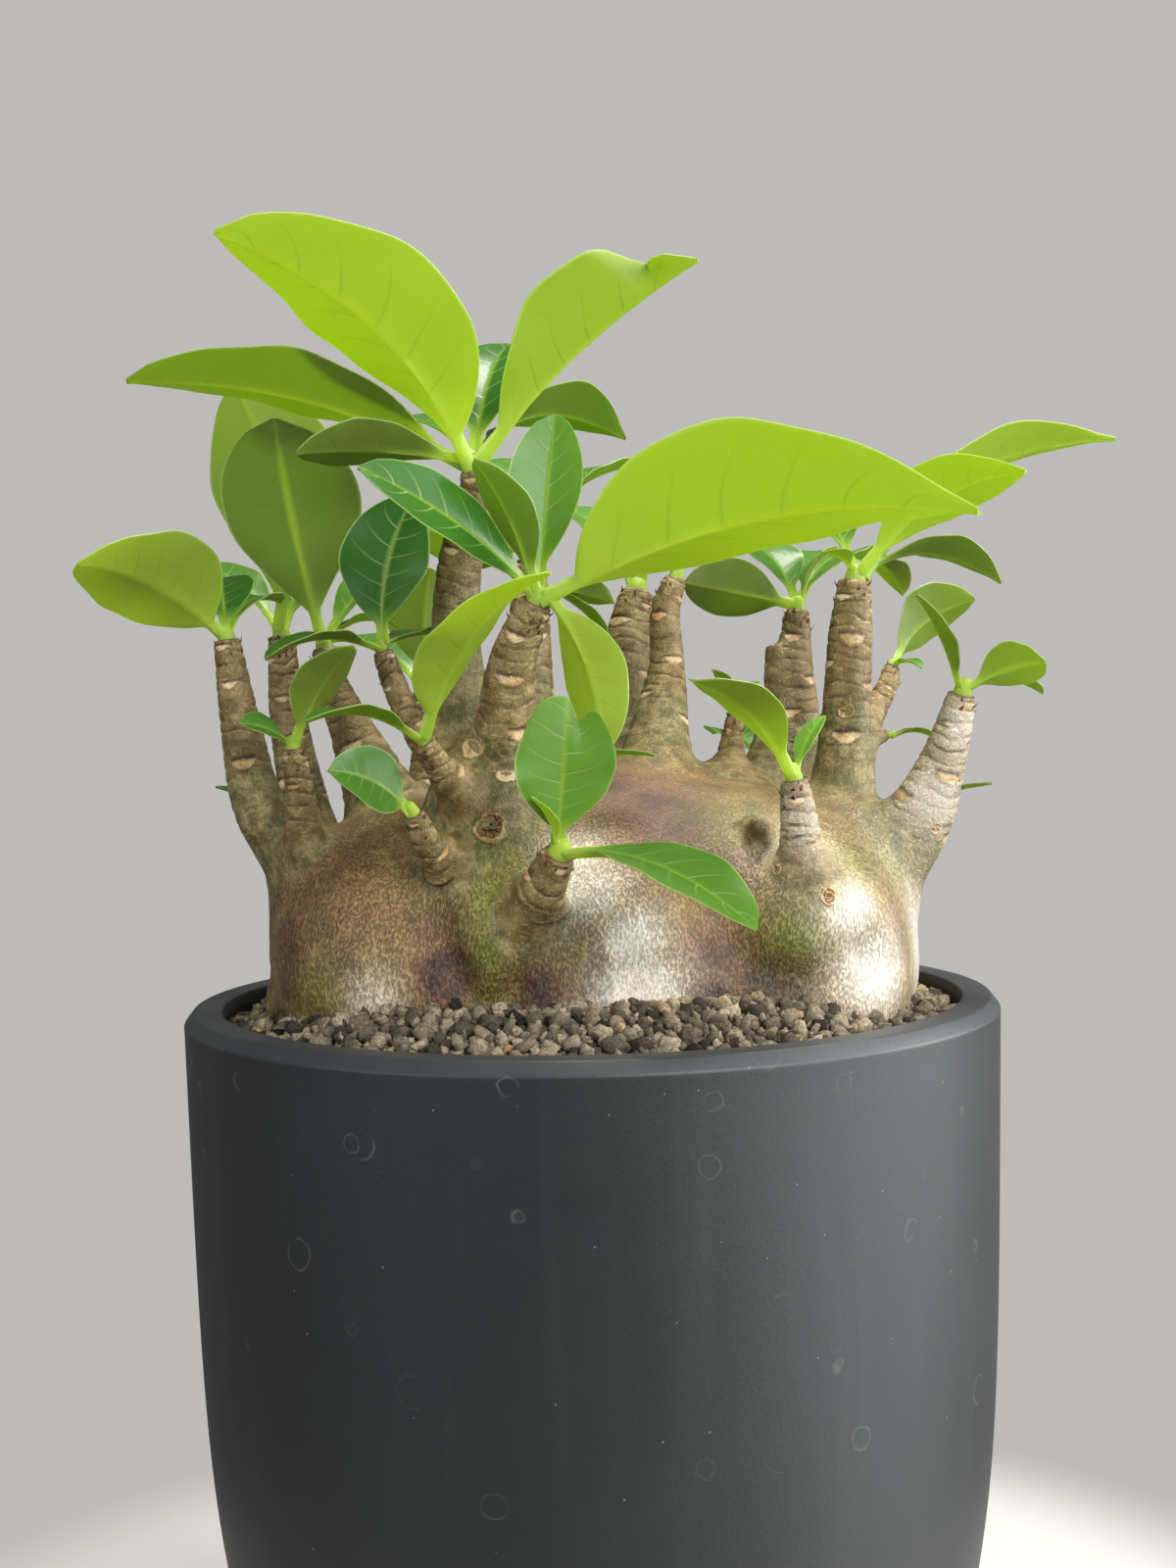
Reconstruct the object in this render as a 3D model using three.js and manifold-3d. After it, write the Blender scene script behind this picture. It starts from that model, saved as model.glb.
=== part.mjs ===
// A potted adenium: a low swollen caudex with many short branches, a rosette of leathery leaves on
// each branch, standing in gritty soil in a round plastic pot. Millimetres, +Z up. The origin is the
// middle of the pot's base, on the surface that it stands on. The plant's best side faces -Y.
import * as THREE from 'three';
import { mergeVertices } from 'three/addons/utils/BufferGeometryUtils.js';
import Module from 'manifold-3d';

const wasm = await Module();
wasm.setup();

// Driving dimensions of the pot
const potHeight = 138;
const potRadius = 75;
const potTaper = 0.02;
const potCurl = 4.1;
const potCurlDepth = 107;
const rimWidth = 5.1;
const rimChamfer = { drop: 2.2, inset: 1.7 };
const wall = 4;
const floorThickness = 5;
const foot = { round: 6, middle: 1.8 };
const drainHole = { radius: 5, ring: 33, count: 5, sides: 8 };
const outsideHeights = [19, 36, 58, 92];
const insideHeights = [19, 44, 85];
const potSides = 48;

// Driving dimensions of the soil
const gap = 0.3;
const soilDrop = 4.5;
const soilMound = 6.5;
const moundRadius = 46;
const grain = { height: 1.1, drift: 1.3, driftAtWall: 0.4 };
const soilRings = [67, 63, 59, 55, 51, 47, 43, 38];
const soilSeed = 7;

// Driving dimensions of the caudex and its branches
const lobeSides = { around: 18, upward: 9 };
const limbSides = 8;
const ringWrinkle = 0.04;

// Driving dimensions of the green shoots. Levels are shares of a shoot's height and of its branch's
// radius. The first leaf starts at a share of the height, the next ones each a little higher, all of
// them a share of the radius out from the middle.
const shootHeight = 5;
const shootSides = 6;
const shootLevels = [[0, 0.9], [0.6, 0.8], [1, 0.45]];
const leafSeat = { height: 0.45, outward: 0.5, spacing: 0.4 };

// Driving dimensions of the leaves. Steps are shares of the length, and so are the stalk and the
// stretch over which a leaf thins from its stalk to its blade.
const bladeThickness = 0.9;
const stalkThickness = 2;
const stalkShare = 0.09;
const thinningShare = 0.2;
const stalkNarrowing = 0.4;
const edgeCurve = { atStalk: 0.95, atTip: 0.6 };
const edgeWave = { height: 0.035, rate: 9, phases: 6 };
const notchedEndShare = 0.3;
const bigLeaf = { steps: [0, 0.13, 0.32, 0.52, 0.72, 0.9, 1], stalk: 1.2, thinner: 1 };
const smallLeaf = { steps: [0, 0.2, 0.5, 0.8, 1], stalk: 0.7, thinner: 0.8 };
const smallLeafLength = 16;
const firstLeafSeed = 11;

// Swollen lobes of the caudex: centre x, y, z, then radii along x, y, z
const lobes = [
  [1, 0, 146, 58, 40, 34],
  [-38, -3, 150, 20, 24, 22],
  [38, -5, 146, 20, 28, 28],
  [-16, -20, 142, 20, 20, 28],
  [38, -22, 143, 15, 15, 20],
  [-22, 18, 148, 26, 22, 26],
  [26, 20, 148, 26, 20, 27],
];

// Branches, from inside the caudex to the tip: x, y, z and radius at each point
const branches = {
  far_left: [
    [-46, -5, 155, 9], [-54, -7, 165, 5.8], [-60, -8, 175, 4.8], [-63, -8, 190, 3.6], [-65, -8, 205, 2.4],
  ],
  left_back: [[-44, 14, 150, 9], [-54, 21, 168, 5], [-59, 24, 190, 3.7], [-60, 24, 207, 2.6]],
  left_inner: [
    [-32, 7, 156, 12], [-38, 10, 171, 8], [-45, 12, 188, 4.2], [-49, 13, 198, 3], [-50, 13, 204, 2.5],
  ],
  left_small: [[-44, -10, 154, 8], [-50, -14, 166, 3.6], [-51, -17, 176, 2.6], [-52, -18, 185, 2]],
  front_trunk: [[-18, -16, 140, 17], [-18, -22, 158, 12], [-18, -22, 171, 9.6], [-18, -20, 181, 8]],
  front_tall: [
    [-18, -18, 172, 8], [-22, -13, 186, 5], [-24, -9, 204, 3.9], [-22, -8, 219, 4], [-19, -11, 230, 2.9],
    [-19, -12, 234, 2.4],
  ],
  front_short: [[-17, -21, 174, 8], [-14, -28, 189, 5], [-12, -31, 200, 4], [-8, -34, 209, 2.8]],
  front_twig: [[-24, -14, 181, 4.5], [-31, -14, 189, 2.4], [-34, -14, 196, 2.2], [-36, -14, 202, 1.9]],
  front_spur: [[-20, -28, 175, 5], [-25, -35, 182, 2.3], [-27, -38, 186, 1.8]],
  front_sprout: [[-15, -24, 179, 3], [-10, -23, 181, 1.6], [-7, -23, 182, 1.2]],
  low_spur: [[-20, -28, 162, 6], [-27, -37, 169, 2.5], [-29, -40, 174, 1.9]],
  middle_twig: [[-14, -28, 147, 8], [-9, -40, 157, 4.2], [-7, -44, 163, 3.3], [-5, -46, 167, 2.5]],
  back_tall: [[-14, 16, 166, 13], [-12, 21, 188, 6], [-11, 24, 206, 4.4], [-10, 24, 221, 2.8]],
  centre: [[12, 4, 170, 10], [14, 11, 186, 5.8], [16, 15, 199, 3.4], [16, 16, 210, 2.8], [18, 17, 216, 2.2]],
  back_thick: [[8, 22, 166, 12], [8, 32, 188, 6], [9, 35, 204, 5], [11, 38, 215, 3.4]],
  back_right: [[38, 18, 164, 11], [42, 27, 185, 5.2], [42, 28, 199, 3.8], [43, 28, 210, 2.4]],
  back_stub: [[35, 20, 174, 6], [38, 25, 190, 2.8], [38, 26, 203, 1.8]],
  right_tall: [[46, 0, 158, 12], [48, 2, 173, 6.2], [49, 2, 190, 4.5], [50, 2, 204, 4.1], [51, 2, 214, 3]],
  right_twig: [[48, 6, 178, 5], [56, 18, 189, 2.6], [60, 22, 195, 2], [61, 24, 198, 1.7]],
  right_sprout: [[49, 3, 180, 4], [54, 5, 184, 1.7], [57, 6, 185, 1.2]],
  right_arm: [
    [42, -2, 152, 14], [54, -5, 162, 8.4], [61, -8, 171, 6], [65, -10, 181, 4], [68, -12, 192, 2.6],
  ],
  right_low: [[38, -18, 146, 13], [37, -28, 158, 5.2], [36, -32, 167, 3.2], [35, -35, 178, 2.3]],
  stub: [[27, 8, 170, 9], [28, 14, 181, 2.8], [29, 14, 190, 1.5]],
  back_left: [[-30, 26, 156, 10], [-33, 38, 170, 5], [-33, 46, 184, 3.6], [-34, 50, 196, 2.5]],
  back_low: [[30, 30, 154, 9], [36, 42, 166, 4.4], [38, 50, 178, 2.6]],
  bud_knob: [[22, -20, 160, 8], [28, -31, 168, 2.6], [29, -34, 170, 1.6]],
};

// Leaves of each rosette. A leaf's tip lies x, y, z from the end of its branch. It may roll about its
// own length, in degrees. Its middle may arch up and bend sideways off the straight line. Its halves
// rise by fold for each millimetre out. A taper over 1 moves the widest place towards the tip.
const rosettes = {
  far_left: [
    { tip: [-21, -22, 13], width: 24, roll: 32, arch: 4, taper: 0.75 },
    { tip: [-5, 20, 13], width: 12, arch: 3 },
    { tip: [8, 14, 8], width: 9, arch: 3 },
  ],
  left_back: [
    { tip: [-7, 10, 49], width: 27, roll: 10, arch: 2, bend: 4, taper: 1.2 },
    { tip: [10, 26, 18], width: 18, arch: 4 },
    { tip: [-24, 16, 16], width: 15, arch: 4 },
  ],
  left_inner: [
    { tip: [-6, -16, 42], width: 27, roll: 15, arch: 3, bend: -1.5, fold: 0.12 },
    { tip: [14, 4, 4], width: 9, arch: 3 },
    { tip: [18, 22, 20], width: 14, arch: 3 },
  ],
  left_small: [
    { tip: [17, -8, 19], width: 15, arch: 2 },
    { tip: [-8, -8, 5], width: 7, roll: -40, arch: 1 },
  ],
  front_tall: [
    { tip: [-40, -30, 37], width: 31, roll: 15, arch: 4, bend: 6.5, fold: 0.25, taper: 0.95 },
    { tip: [-62, 0, 18], width: 23, roll: 8, arch: 6 },
    { tip: [40, -14, 33], width: 20, roll: -8, arch: 3, fold: 0.35 },
    { tip: [-30, -14, 1], width: 12, roll: 28, arch: 3 },
    { tip: [6, 26, 30], width: 20, arch: 4 },
    { tip: [28, 30, 10], width: 21, roll: -20, arch: 7 },
    { tip: [-22, 22, 12], width: 16, arch: 4 },
  ],
  front_short: [
    { tip: [66, -46, 9], width: 34, roll: -28, arch: 6.5, taper: 0.85 },
    { tip: [-27, -20, 21], width: 11, roll: -60, arch: 2.5 },
    { tip: [-9, -12, 23], width: 10, arch: 2 },
    { tip: [5, 8, 33], width: 13, arch: 1, fold: 0.35 },
    { tip: [13, -11, -26], width: 13, roll: -100, arch: 2, bend: -2 },
    { tip: [5, 10, 1], width: 7, arch: 1 },
    { tip: [14, 6, 0], width: 8, arch: 2 },
  ],
  front_twig: [
    { tip: [-19, -14, -1], width: 10, arch: 3 },
    { tip: [6, 2, 28], width: 18, roll: 50, arch: 1, bend: 2 },
    { tip: [10, 16, 4], width: 8, arch: 1 },
  ],
  front_spur: [
    { tip: [-18, -14, 4], width: 9, arch: 3 },
    { tip: [22, -26, 26], width: 17, roll: 13, arch: 4.5, taper: 0.85 },
  ],
  front_sprout: [{ tip: [19, -1, 1], width: 4, arch: 1 }],
  low_spur: [{ tip: [-12, -14, 8], width: 11, roll: -75, arch: 1, bend: -1.5, taper: 0.9 }],
  middle_twig: [
    { tip: [3, -5, 26], width: 18, roll: 170, arch: 0, taper: 1.3, notch: 3 },
    { tip: [30, -26, -10], width: 14, arch: 4 },
    { tip: [-6, -6, 6], width: 5, arch: 1 },
  ],
  back_tall: [
    { tip: [22, 10, 20], width: 18, arch: 5 },
    { tip: [-26, 10, 8], width: 18, roll: 60, arch: 3 },
    { tip: [-2, 30, 24], width: 20, arch: 4 },
  ],
  centre: [
    { tip: [16, -4, 16], width: 12, arch: 4 },
    { tip: [10, 22, 20], width: 16, arch: 4 },
    { tip: [-12, 4, 20], width: 12, arch: 3 },
  ],
  back_thick: [
    { tip: [-16, 18, 20], width: 18, arch: 4 },
    { tip: [14, 20, 20], width: 18, arch: 4 },
  ],
  back_right: [
    { tip: [-23, -6, 6], width: 13, roll: 60, arch: 1 },
    { tip: [8, 0, 13], width: 8, arch: 2 },
    { tip: [-10, 16, 16], width: 14, arch: 3 },
    { tip: [16, 20, 12], width: 16, arch: 4 },
  ],
  right_tall: [
    { tip: [54, 18, 28], width: 20, roll: 18, arch: 10 },
    { tip: [27, -24, 17], width: 16, roll: -28, arch: 6 },
    { tip: [30, 12, 0], width: 14, roll: -10, arch: 5 },
    { tip: [-7, -8, 5], width: 6, arch: 1 },
    { tip: [-14, 20, 22], width: 18, arch: 4 },
    { tip: [11, 12, -2], width: 8, arch: 3 },
  ],
  right_twig: [
    { tip: [18, 6, 14], width: 15, roll: -55, arch: 4 },
    { tip: [5, -6, 0], width: 4, arch: 1 },
  ],
  right_sprout: [{ tip: [11, 2, -2], width: 4, arch: 2 }],
  right_arm: [
    { tip: [-7, 6, 20], width: 7, arch: 1 },
    { tip: [9, -12, 4], width: 11, roll: -28, arch: 2 },
    { tip: [15, 10, -1], width: 6, arch: 2 },
  ],
  right_low: [
    { tip: [-18, -24, 17], width: 12, arch: 3.5 },
    { tip: [6, 5, 11], width: 5, arch: 1 },
  ],
  stub: [{ tip: [5, 4, 6], width: 5, arch: 1 }],
  back_left: [
    { tip: [-22, 16, 12], width: 18, arch: 4 },
    { tip: [8, 28, 16], width: 18, arch: 4 },
    { tip: [2, -4, 26], width: 16, arch: 2 },
  ],
  back_low: [
    { tip: [20, 18, 10], width: 16, arch: 4 },
    { tip: [-10, 18, 8], width: 14, arch: 3 },
  ],
};

function finish(color, roughness) {
  return new THREE.MeshStandardMaterial({ color, roughness, metalness: 0, flatShading: true });
}

const plasticFinish = finish(0x3c3e40, 0.6);
const soilFinish = finish(0x5f5246, 1);
const barkFinish = finish(0x85745a, 0.75);
const leafFinish = finish(0x6fa51e, 0.45);

// A repeatable stream of numbers from 0 to 1
function randomStream(seed) {
  let state = seed;
  return () => {
    state = (state * 1664525 + 1013904223) % 4294967296;
    return state / 4294967296;
  };
}

function point([x, y, z]) {
  return new THREE.Vector3(x, y, z);
}

// The bare surface, with corners that share a place made one
function welded(geometry) {
  const bare = geometry.clone();
  bare.deleteAttribute('normal');
  bare.deleteAttribute('uv');
  return mergeVertices(bare, 1e-4);
}

// A closed solid from a closed surface, without the faces that have no area
function solid(geometry) {
  const merged = welded(geometry);
  const corners = Array.from(merged.index.array);
  const faces = [];
  for (let i = 0; i < corners.length; i += 3) {
    const [a, b, c] = corners.slice(i, i + 3);
    if (a !== b && b !== c && c !== a) faces.push(a, b, c);
  }
  return new wasm.Manifold(new wasm.Mesh({
    numProp: 3,
    vertProperties: Float32Array.from(merged.attributes.position.array),
    triVerts: Uint32Array.from(faces),
  }));
}

function geometryOf(body) {
  const { vertProperties, triVerts } = body.getMesh();
  const geometry = new THREE.BufferGeometry();
  geometry.setAttribute('position', new THREE.BufferAttribute(Float32Array.from(vertProperties), 3));
  geometry.setIndex(Array.from(triVerts));
  geometry.computeVertexNormals();
  return geometry;
}

function joined(bodies) {
  return bodies.reduce((whole, body) => whole.add(body));
}

function part(name, body, material) {
  const mesh = new THREE.Mesh(geometryOf(body), material);
  mesh.name = name;
  return mesh;
}

// A closed skin over rings of points that run counter-clockwise about the way from first to last.
// Each square is split from its corner in one ring forward, or back where splitsBack says so.
function loft(rings, splitsBack = () => false) {
  const count = rings[0].length;
  const faces = [];
  for (let i = 0; i < rings.length - 1; i++) {
    for (let k = 0; k < count; k++) {
      const [a, b] = [i * count + k, i * count + ((k + 1) % count)];
      const [c, d] = [a + count, b + count];
      faces.push(...(splitsBack(k) ? [a, b, c, b, d, c] : [a, b, d, a, d, c]));
    }
  }
  const last = (rings.length - 1) * count;
  for (let k = 0; k < count / 2 - 1; k++) {
    const [a, b, c, d] = [k, k + 1, count - 2 - k, count - 1 - k];
    faces.push(a, c, b, a, d, c);
    faces.push(last + a, last + b, last + c, last + a, last + c, last + d);
  }
  const geometry = new THREE.BufferGeometry().setFromPoints(rings.flat());
  geometry.setIndex(faces);
  return geometry;
}

// A ring of points around centre, square to the direction that it faces
function ringAround(centre, facing, radius, sides) {
  const across = facing.clone().cross(new THREE.Vector3(0, 1, 0)).normalize();
  const along = facing.clone().cross(across).normalize();
  return Array.from({ length: sides }, (_, k) => {
    const angle = (2 * Math.PI * k) / sides;
    return centre.clone()
      .addScaledVector(across, radius * Math.cos(angle))
      .addScaledVector(along, radius * Math.sin(angle));
  });
}

// The pot's outside narrows by a slight taper and curls in towards its foot
function outerRadius(height) {
  const depth = potHeight - height;
  return potRadius - potTaper * depth - potCurl * (depth / potCurlDepth) ** 5;
}

function innerRadius(height) {
  const rimInner = potRadius - rimChamfer.inset - rimWidth;
  return Math.min(rimInner, outerRadius(height) - wall);
}

function turned(profile, sides) {
  const geometry = new THREE.LatheGeometry(profile.map(([r, z]) => new THREE.Vector2(r, z)), sides);
  return geometry.rotateX(Math.PI / 2);
}

function potBody() {
  const shoulder = potHeight - rimChamfer.drop;
  const outside = [foot.round, ...outsideHeights, shoulder].map((z) => [outerRadius(z), z]);
  const inside = [floorThickness, ...insideHeights].map((z) => [innerRadius(z), z]);
  const profile = [
    [0, 0],
    [outerRadius(0) - foot.round, 0],
    [outerRadius(0) - foot.middle, foot.middle],
    ...outside,
    [potRadius - rimChamfer.inset, potHeight],
    [innerRadius(potHeight), potHeight],
    ...inside.reverse(),
    [0, floorThickness],
  ];
  const holes = Array.from({ length: drainHole.count }, (_, k) => {
    const angle = (2 * Math.PI * k) / drainHole.count;
    const height = 3 * floorThickness;
    const hole = new THREE.CylinderGeometry(drainHole.radius, drainHole.radius, height, drainHole.sides);
    hole.rotateX(Math.PI / 2);
    hole.translate(drainHole.ring * Math.cos(angle), drainHole.ring * Math.sin(angle), 0);
    return solid(hole);
  });
  return solid(turned(profile, potSides)).subtract(joined(holes));
}

// Height of the soil before its grains: level at the wall, mounded up to the caudex
function soilHeight(radius) {
  const low = potHeight - soilDrop;
  const share = (innerRadius(potHeight) - radius) / (innerRadius(potHeight) - moundRadius);
  return low + soilMound * THREE.MathUtils.smoothstep(share, 0, 1);
}

// The soil fills the pot. The corners of its top are pushed about at random, as grit lies, except
// those at the wall, and the caudex is cut out of it with a little room around.
function soilBody() {
  const wallTop = potHeight - soilDrop;
  const sides = [floorThickness + gap, ...insideHeights, wallTop];
  const profile = [
    [0, sides[0]],
    ...sides.map((z) => [innerRadius(z) - gap, z]),
    ...soilRings.map((r) => [r, soilHeight(r)]),
    [0, soilHeight(0)],
  ];
  const geometry = welded(turned(profile, potSides));
  const random = randomStream(soilSeed);
  const places = geometry.attributes.position;
  const [outermost, next] = soilRings;
  const wallCorners = (outermost + innerRadius(wallTop) - gap) / 2;
  for (let i = 0; i < places.count; i++) {
    const corner = new THREE.Vector3().fromBufferAttribute(places, i);
    const radius = Math.hypot(corner.x, corner.y);
    const isTop = corner.z > wallTop - grain.height && radius < wallCorners;
    if (!isTop) continue;
    const drift = radius > (outermost + next) / 2 ? grain.driftAtWall : grain.drift;
    corner.x += drift * (2 * random() - 1);
    corner.y += drift * (2 * random() - 1);
    corner.z += grain.height * (2 * random() - 1);
    places.setXYZ(i, corner.x, corner.y, corner.z);
  }
  return solid(geometry).subtract(joined(lobes.map((lobe) => lobeBody(lobe, gap))));
}

function lobeBody([x, y, z, rx, ry, rz], margin = 0) {
  const ball = new THREE.SphereGeometry(1, lobeSides.around, lobeSides.upward);
  ball.rotateX(Math.PI / 2);
  ball.scale(rx + margin, ry + margin, rz + margin);
  ball.translate(x, y, z);
  return solid(ball);
}

// A branch: round rings along a smooth path, every other one a little thicker, as its leaf scars are
function limbBody(points) {
  const path = new THREE.CatmullRomCurve3(points.map(point), false, 'centripetal');
  const steps = 2 * (points.length - 1);
  const rings = Array.from({ length: steps + 1 }, (_, i) => {
    const [from, to] = [points[Math.floor(i / 2)], points[Math.ceil(i / 2)]];
    const radius = ((from[3] + to[3]) / 2) * (i === steps ? 1 : 1 + ringWrinkle * (i % 2 ? 1 : -1));
    return ringAround(path.getPoint(i / steps), path.getTangent(i / steps), radius, limbSides);
  });
  const firstBuriedRing = 1;
  return solid(loft(rings.toSpliced(firstBuriedRing, 1)));
}

function caudexBody() {
  return joined([...lobes.map((lobe) => lobeBody(lobe)), ...Object.values(branches).map(limbBody)]);
}

// The end of a branch: its last point, the way it grows there and its radius
function branchEnd(points) {
  const path = new THREE.CatmullRomCurve3(points.map(point), false, 'centripetal');
  return { end: path.getPoint(1), way: path.getTangent(1), radius: points.at(-1)[3] };
}

// Half the width of a leaf at share t of its length: a stalk, a wedge, then a broad blunt blade
function leafHalfWidth(t, width, stalk, taper) {
  const share = THREE.MathUtils.clamp((t - stalkShare) / (1 - stalkShare), 0, 1);
  const curve = THREE.MathUtils.lerp(edgeCurve.atStalk, edgeCurve.atTip, share);
  const blade = (width / 2) * Math.sin(Math.PI * share ** taper) ** curve;
  return Math.max(stalk * (1 - stalkNarrowing * t), blade);
}

// A leaf: its midrib is an arc from the shoot to the tip, and both halves rise from it in a shallow
// fold with a wavy edge. Its upper face looks up and in towards the shoot before it is rolled. A
// notched leaf ends in two lobes, with the midrib's end drawn back between them.
function leafBody(base, tip, phase, leaf) {
  const { width, roll = 0, arch = 0, bend = 0, fold = 0.2, taper = 1.1, notch = 0 } = leaf;
  const chord = tip.clone().sub(base);
  const size = chord.length() < smallLeafLength ? smallLeaf : bigLeaf;
  const way = chord.clone().normalize();
  const up = new THREE.Vector3(0, 0, 1).projectOnPlane(way).normalize();
  up.applyAxisAngle(way, THREE.MathUtils.degToRad(roll));
  const side = up.clone().cross(way);
  const middle = base.clone().lerp(tip, 0.5).addScaledVector(up, 2 * arch).addScaledVector(side, 2 * bend);
  const midrib = new THREE.QuadraticBezierCurve3(base, middle, tip);
  const rings = size.steps.map((t) => {
    const tangent = midrib.getTangent(t);
    const across = side.clone().projectOnPlane(tangent).normalize();
    const face = tangent.clone().cross(across);
    const atEnd = notch > 0 && t === 1;
    const half = atEnd ? notchedEndShare * width : leafHalfWidth(t, width, size.stalk, taper);
    const centre = midrib.getPoint(t).addScaledVector(tangent, atEnd ? -notch : 0);
    const lobe = atEnd ? notch : 0;
    const wave = edgeWave.height * width * Math.sin(edgeWave.rate * t + phase) * Math.sin(Math.PI * t);
    const thinned = Math.min(1, t / thinningShare);
    const thickness = size.thinner * THREE.MathUtils.lerp(stalkThickness, bladeThickness, thinned);
    const places = [[half, fold * half + wave, lobe], [0, 0, 0], [-half, fold * half - wave, lobe]];
    const upper = places.map(([out, rise, on]) => centre.clone()
      .addScaledVector(across, out)
      .addScaledVector(face, rise)
      .addScaledVector(tangent, on));
    const lower = upper.map((p) => p.clone().addScaledVector(face, -thickness)).reverse();
    return [...upper, ...lower];
  });
  const undersideStrips = [3, 4];
  return solid(loft(rings, (k) => undersideStrips.includes(k)));
}

// A rosette: a short green shoot on the end of its branch, with leaves growing out one above another
function rosetteBody(name, seed) {
  const { end, way, radius } = branchEnd(branches[name]);
  const random = randomStream(seed);
  const height = Math.min(shootHeight, 2 * radius);
  const rings = shootLevels.map(([share, wide]) => {
    const centre = end.clone().addScaledVector(way, gap + share * height);
    return ringAround(centre, way, radius * wide, shootSides);
  });
  const leaves = rosettes[name].map((leaf, k) => {
    const outward = point(leaf.tip).projectOnPlane(way).normalize();
    const base = end.clone()
      .addScaledVector(way, gap + leafSeat.height * height + leafSeat.spacing * k)
      .addScaledVector(outward, leafSeat.outward * radius);
    const tip = end.clone().add(point(leaf.tip));
    return leafBody(base, tip, edgeWave.phases * random(), leaf);
  });
  return joined([solid(loft(rings)), ...leaves]);
}

const plant = new THREE.Group();
plant.add(part('pot', potBody(), plasticFinish));
plant.add(part('soil', soilBody(), soilFinish));
plant.add(part('caudex', caudexBody(), barkFinish));
Object.keys(rosettes).forEach((name, k) => {
  plant.add(part(`leaves_${name}`, rosetteBody(name, firstLeafSeed + k), leafFinish));
});

export default plant;
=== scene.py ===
import math
import random
from functools import partial

import bpy
import numpy as np
from mathutils import Matrix, Vector


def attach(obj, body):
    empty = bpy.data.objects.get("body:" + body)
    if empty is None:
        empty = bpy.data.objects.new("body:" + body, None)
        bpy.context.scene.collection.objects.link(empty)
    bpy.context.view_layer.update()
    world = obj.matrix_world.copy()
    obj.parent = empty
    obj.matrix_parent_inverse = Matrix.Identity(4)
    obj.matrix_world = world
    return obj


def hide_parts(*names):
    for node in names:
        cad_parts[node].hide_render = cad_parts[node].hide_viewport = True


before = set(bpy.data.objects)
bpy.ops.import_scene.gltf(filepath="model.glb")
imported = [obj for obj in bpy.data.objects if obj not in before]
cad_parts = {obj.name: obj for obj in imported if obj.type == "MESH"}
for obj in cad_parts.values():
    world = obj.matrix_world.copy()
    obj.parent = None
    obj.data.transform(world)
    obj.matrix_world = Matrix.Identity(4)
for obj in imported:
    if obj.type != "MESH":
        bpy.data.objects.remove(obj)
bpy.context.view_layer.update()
mm = 0.001

# Swollen lobes of the caudex in millimetres: centre x, y, z, then radii along x, y, z
lobes = [
    (1, 0, 146, 58, 40, 34),
    (-38, -3, 150, 20, 24, 22),
    (38, -5, 146, 20, 28, 28),
    (-16, -20, 142, 20, 20, 28),
    (38, -22, 143, 15, 15, 20),
    (-22, 18, 148, 26, 22, 26),
    (26, 20, 148, 26, 20, 27),
]

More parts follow.
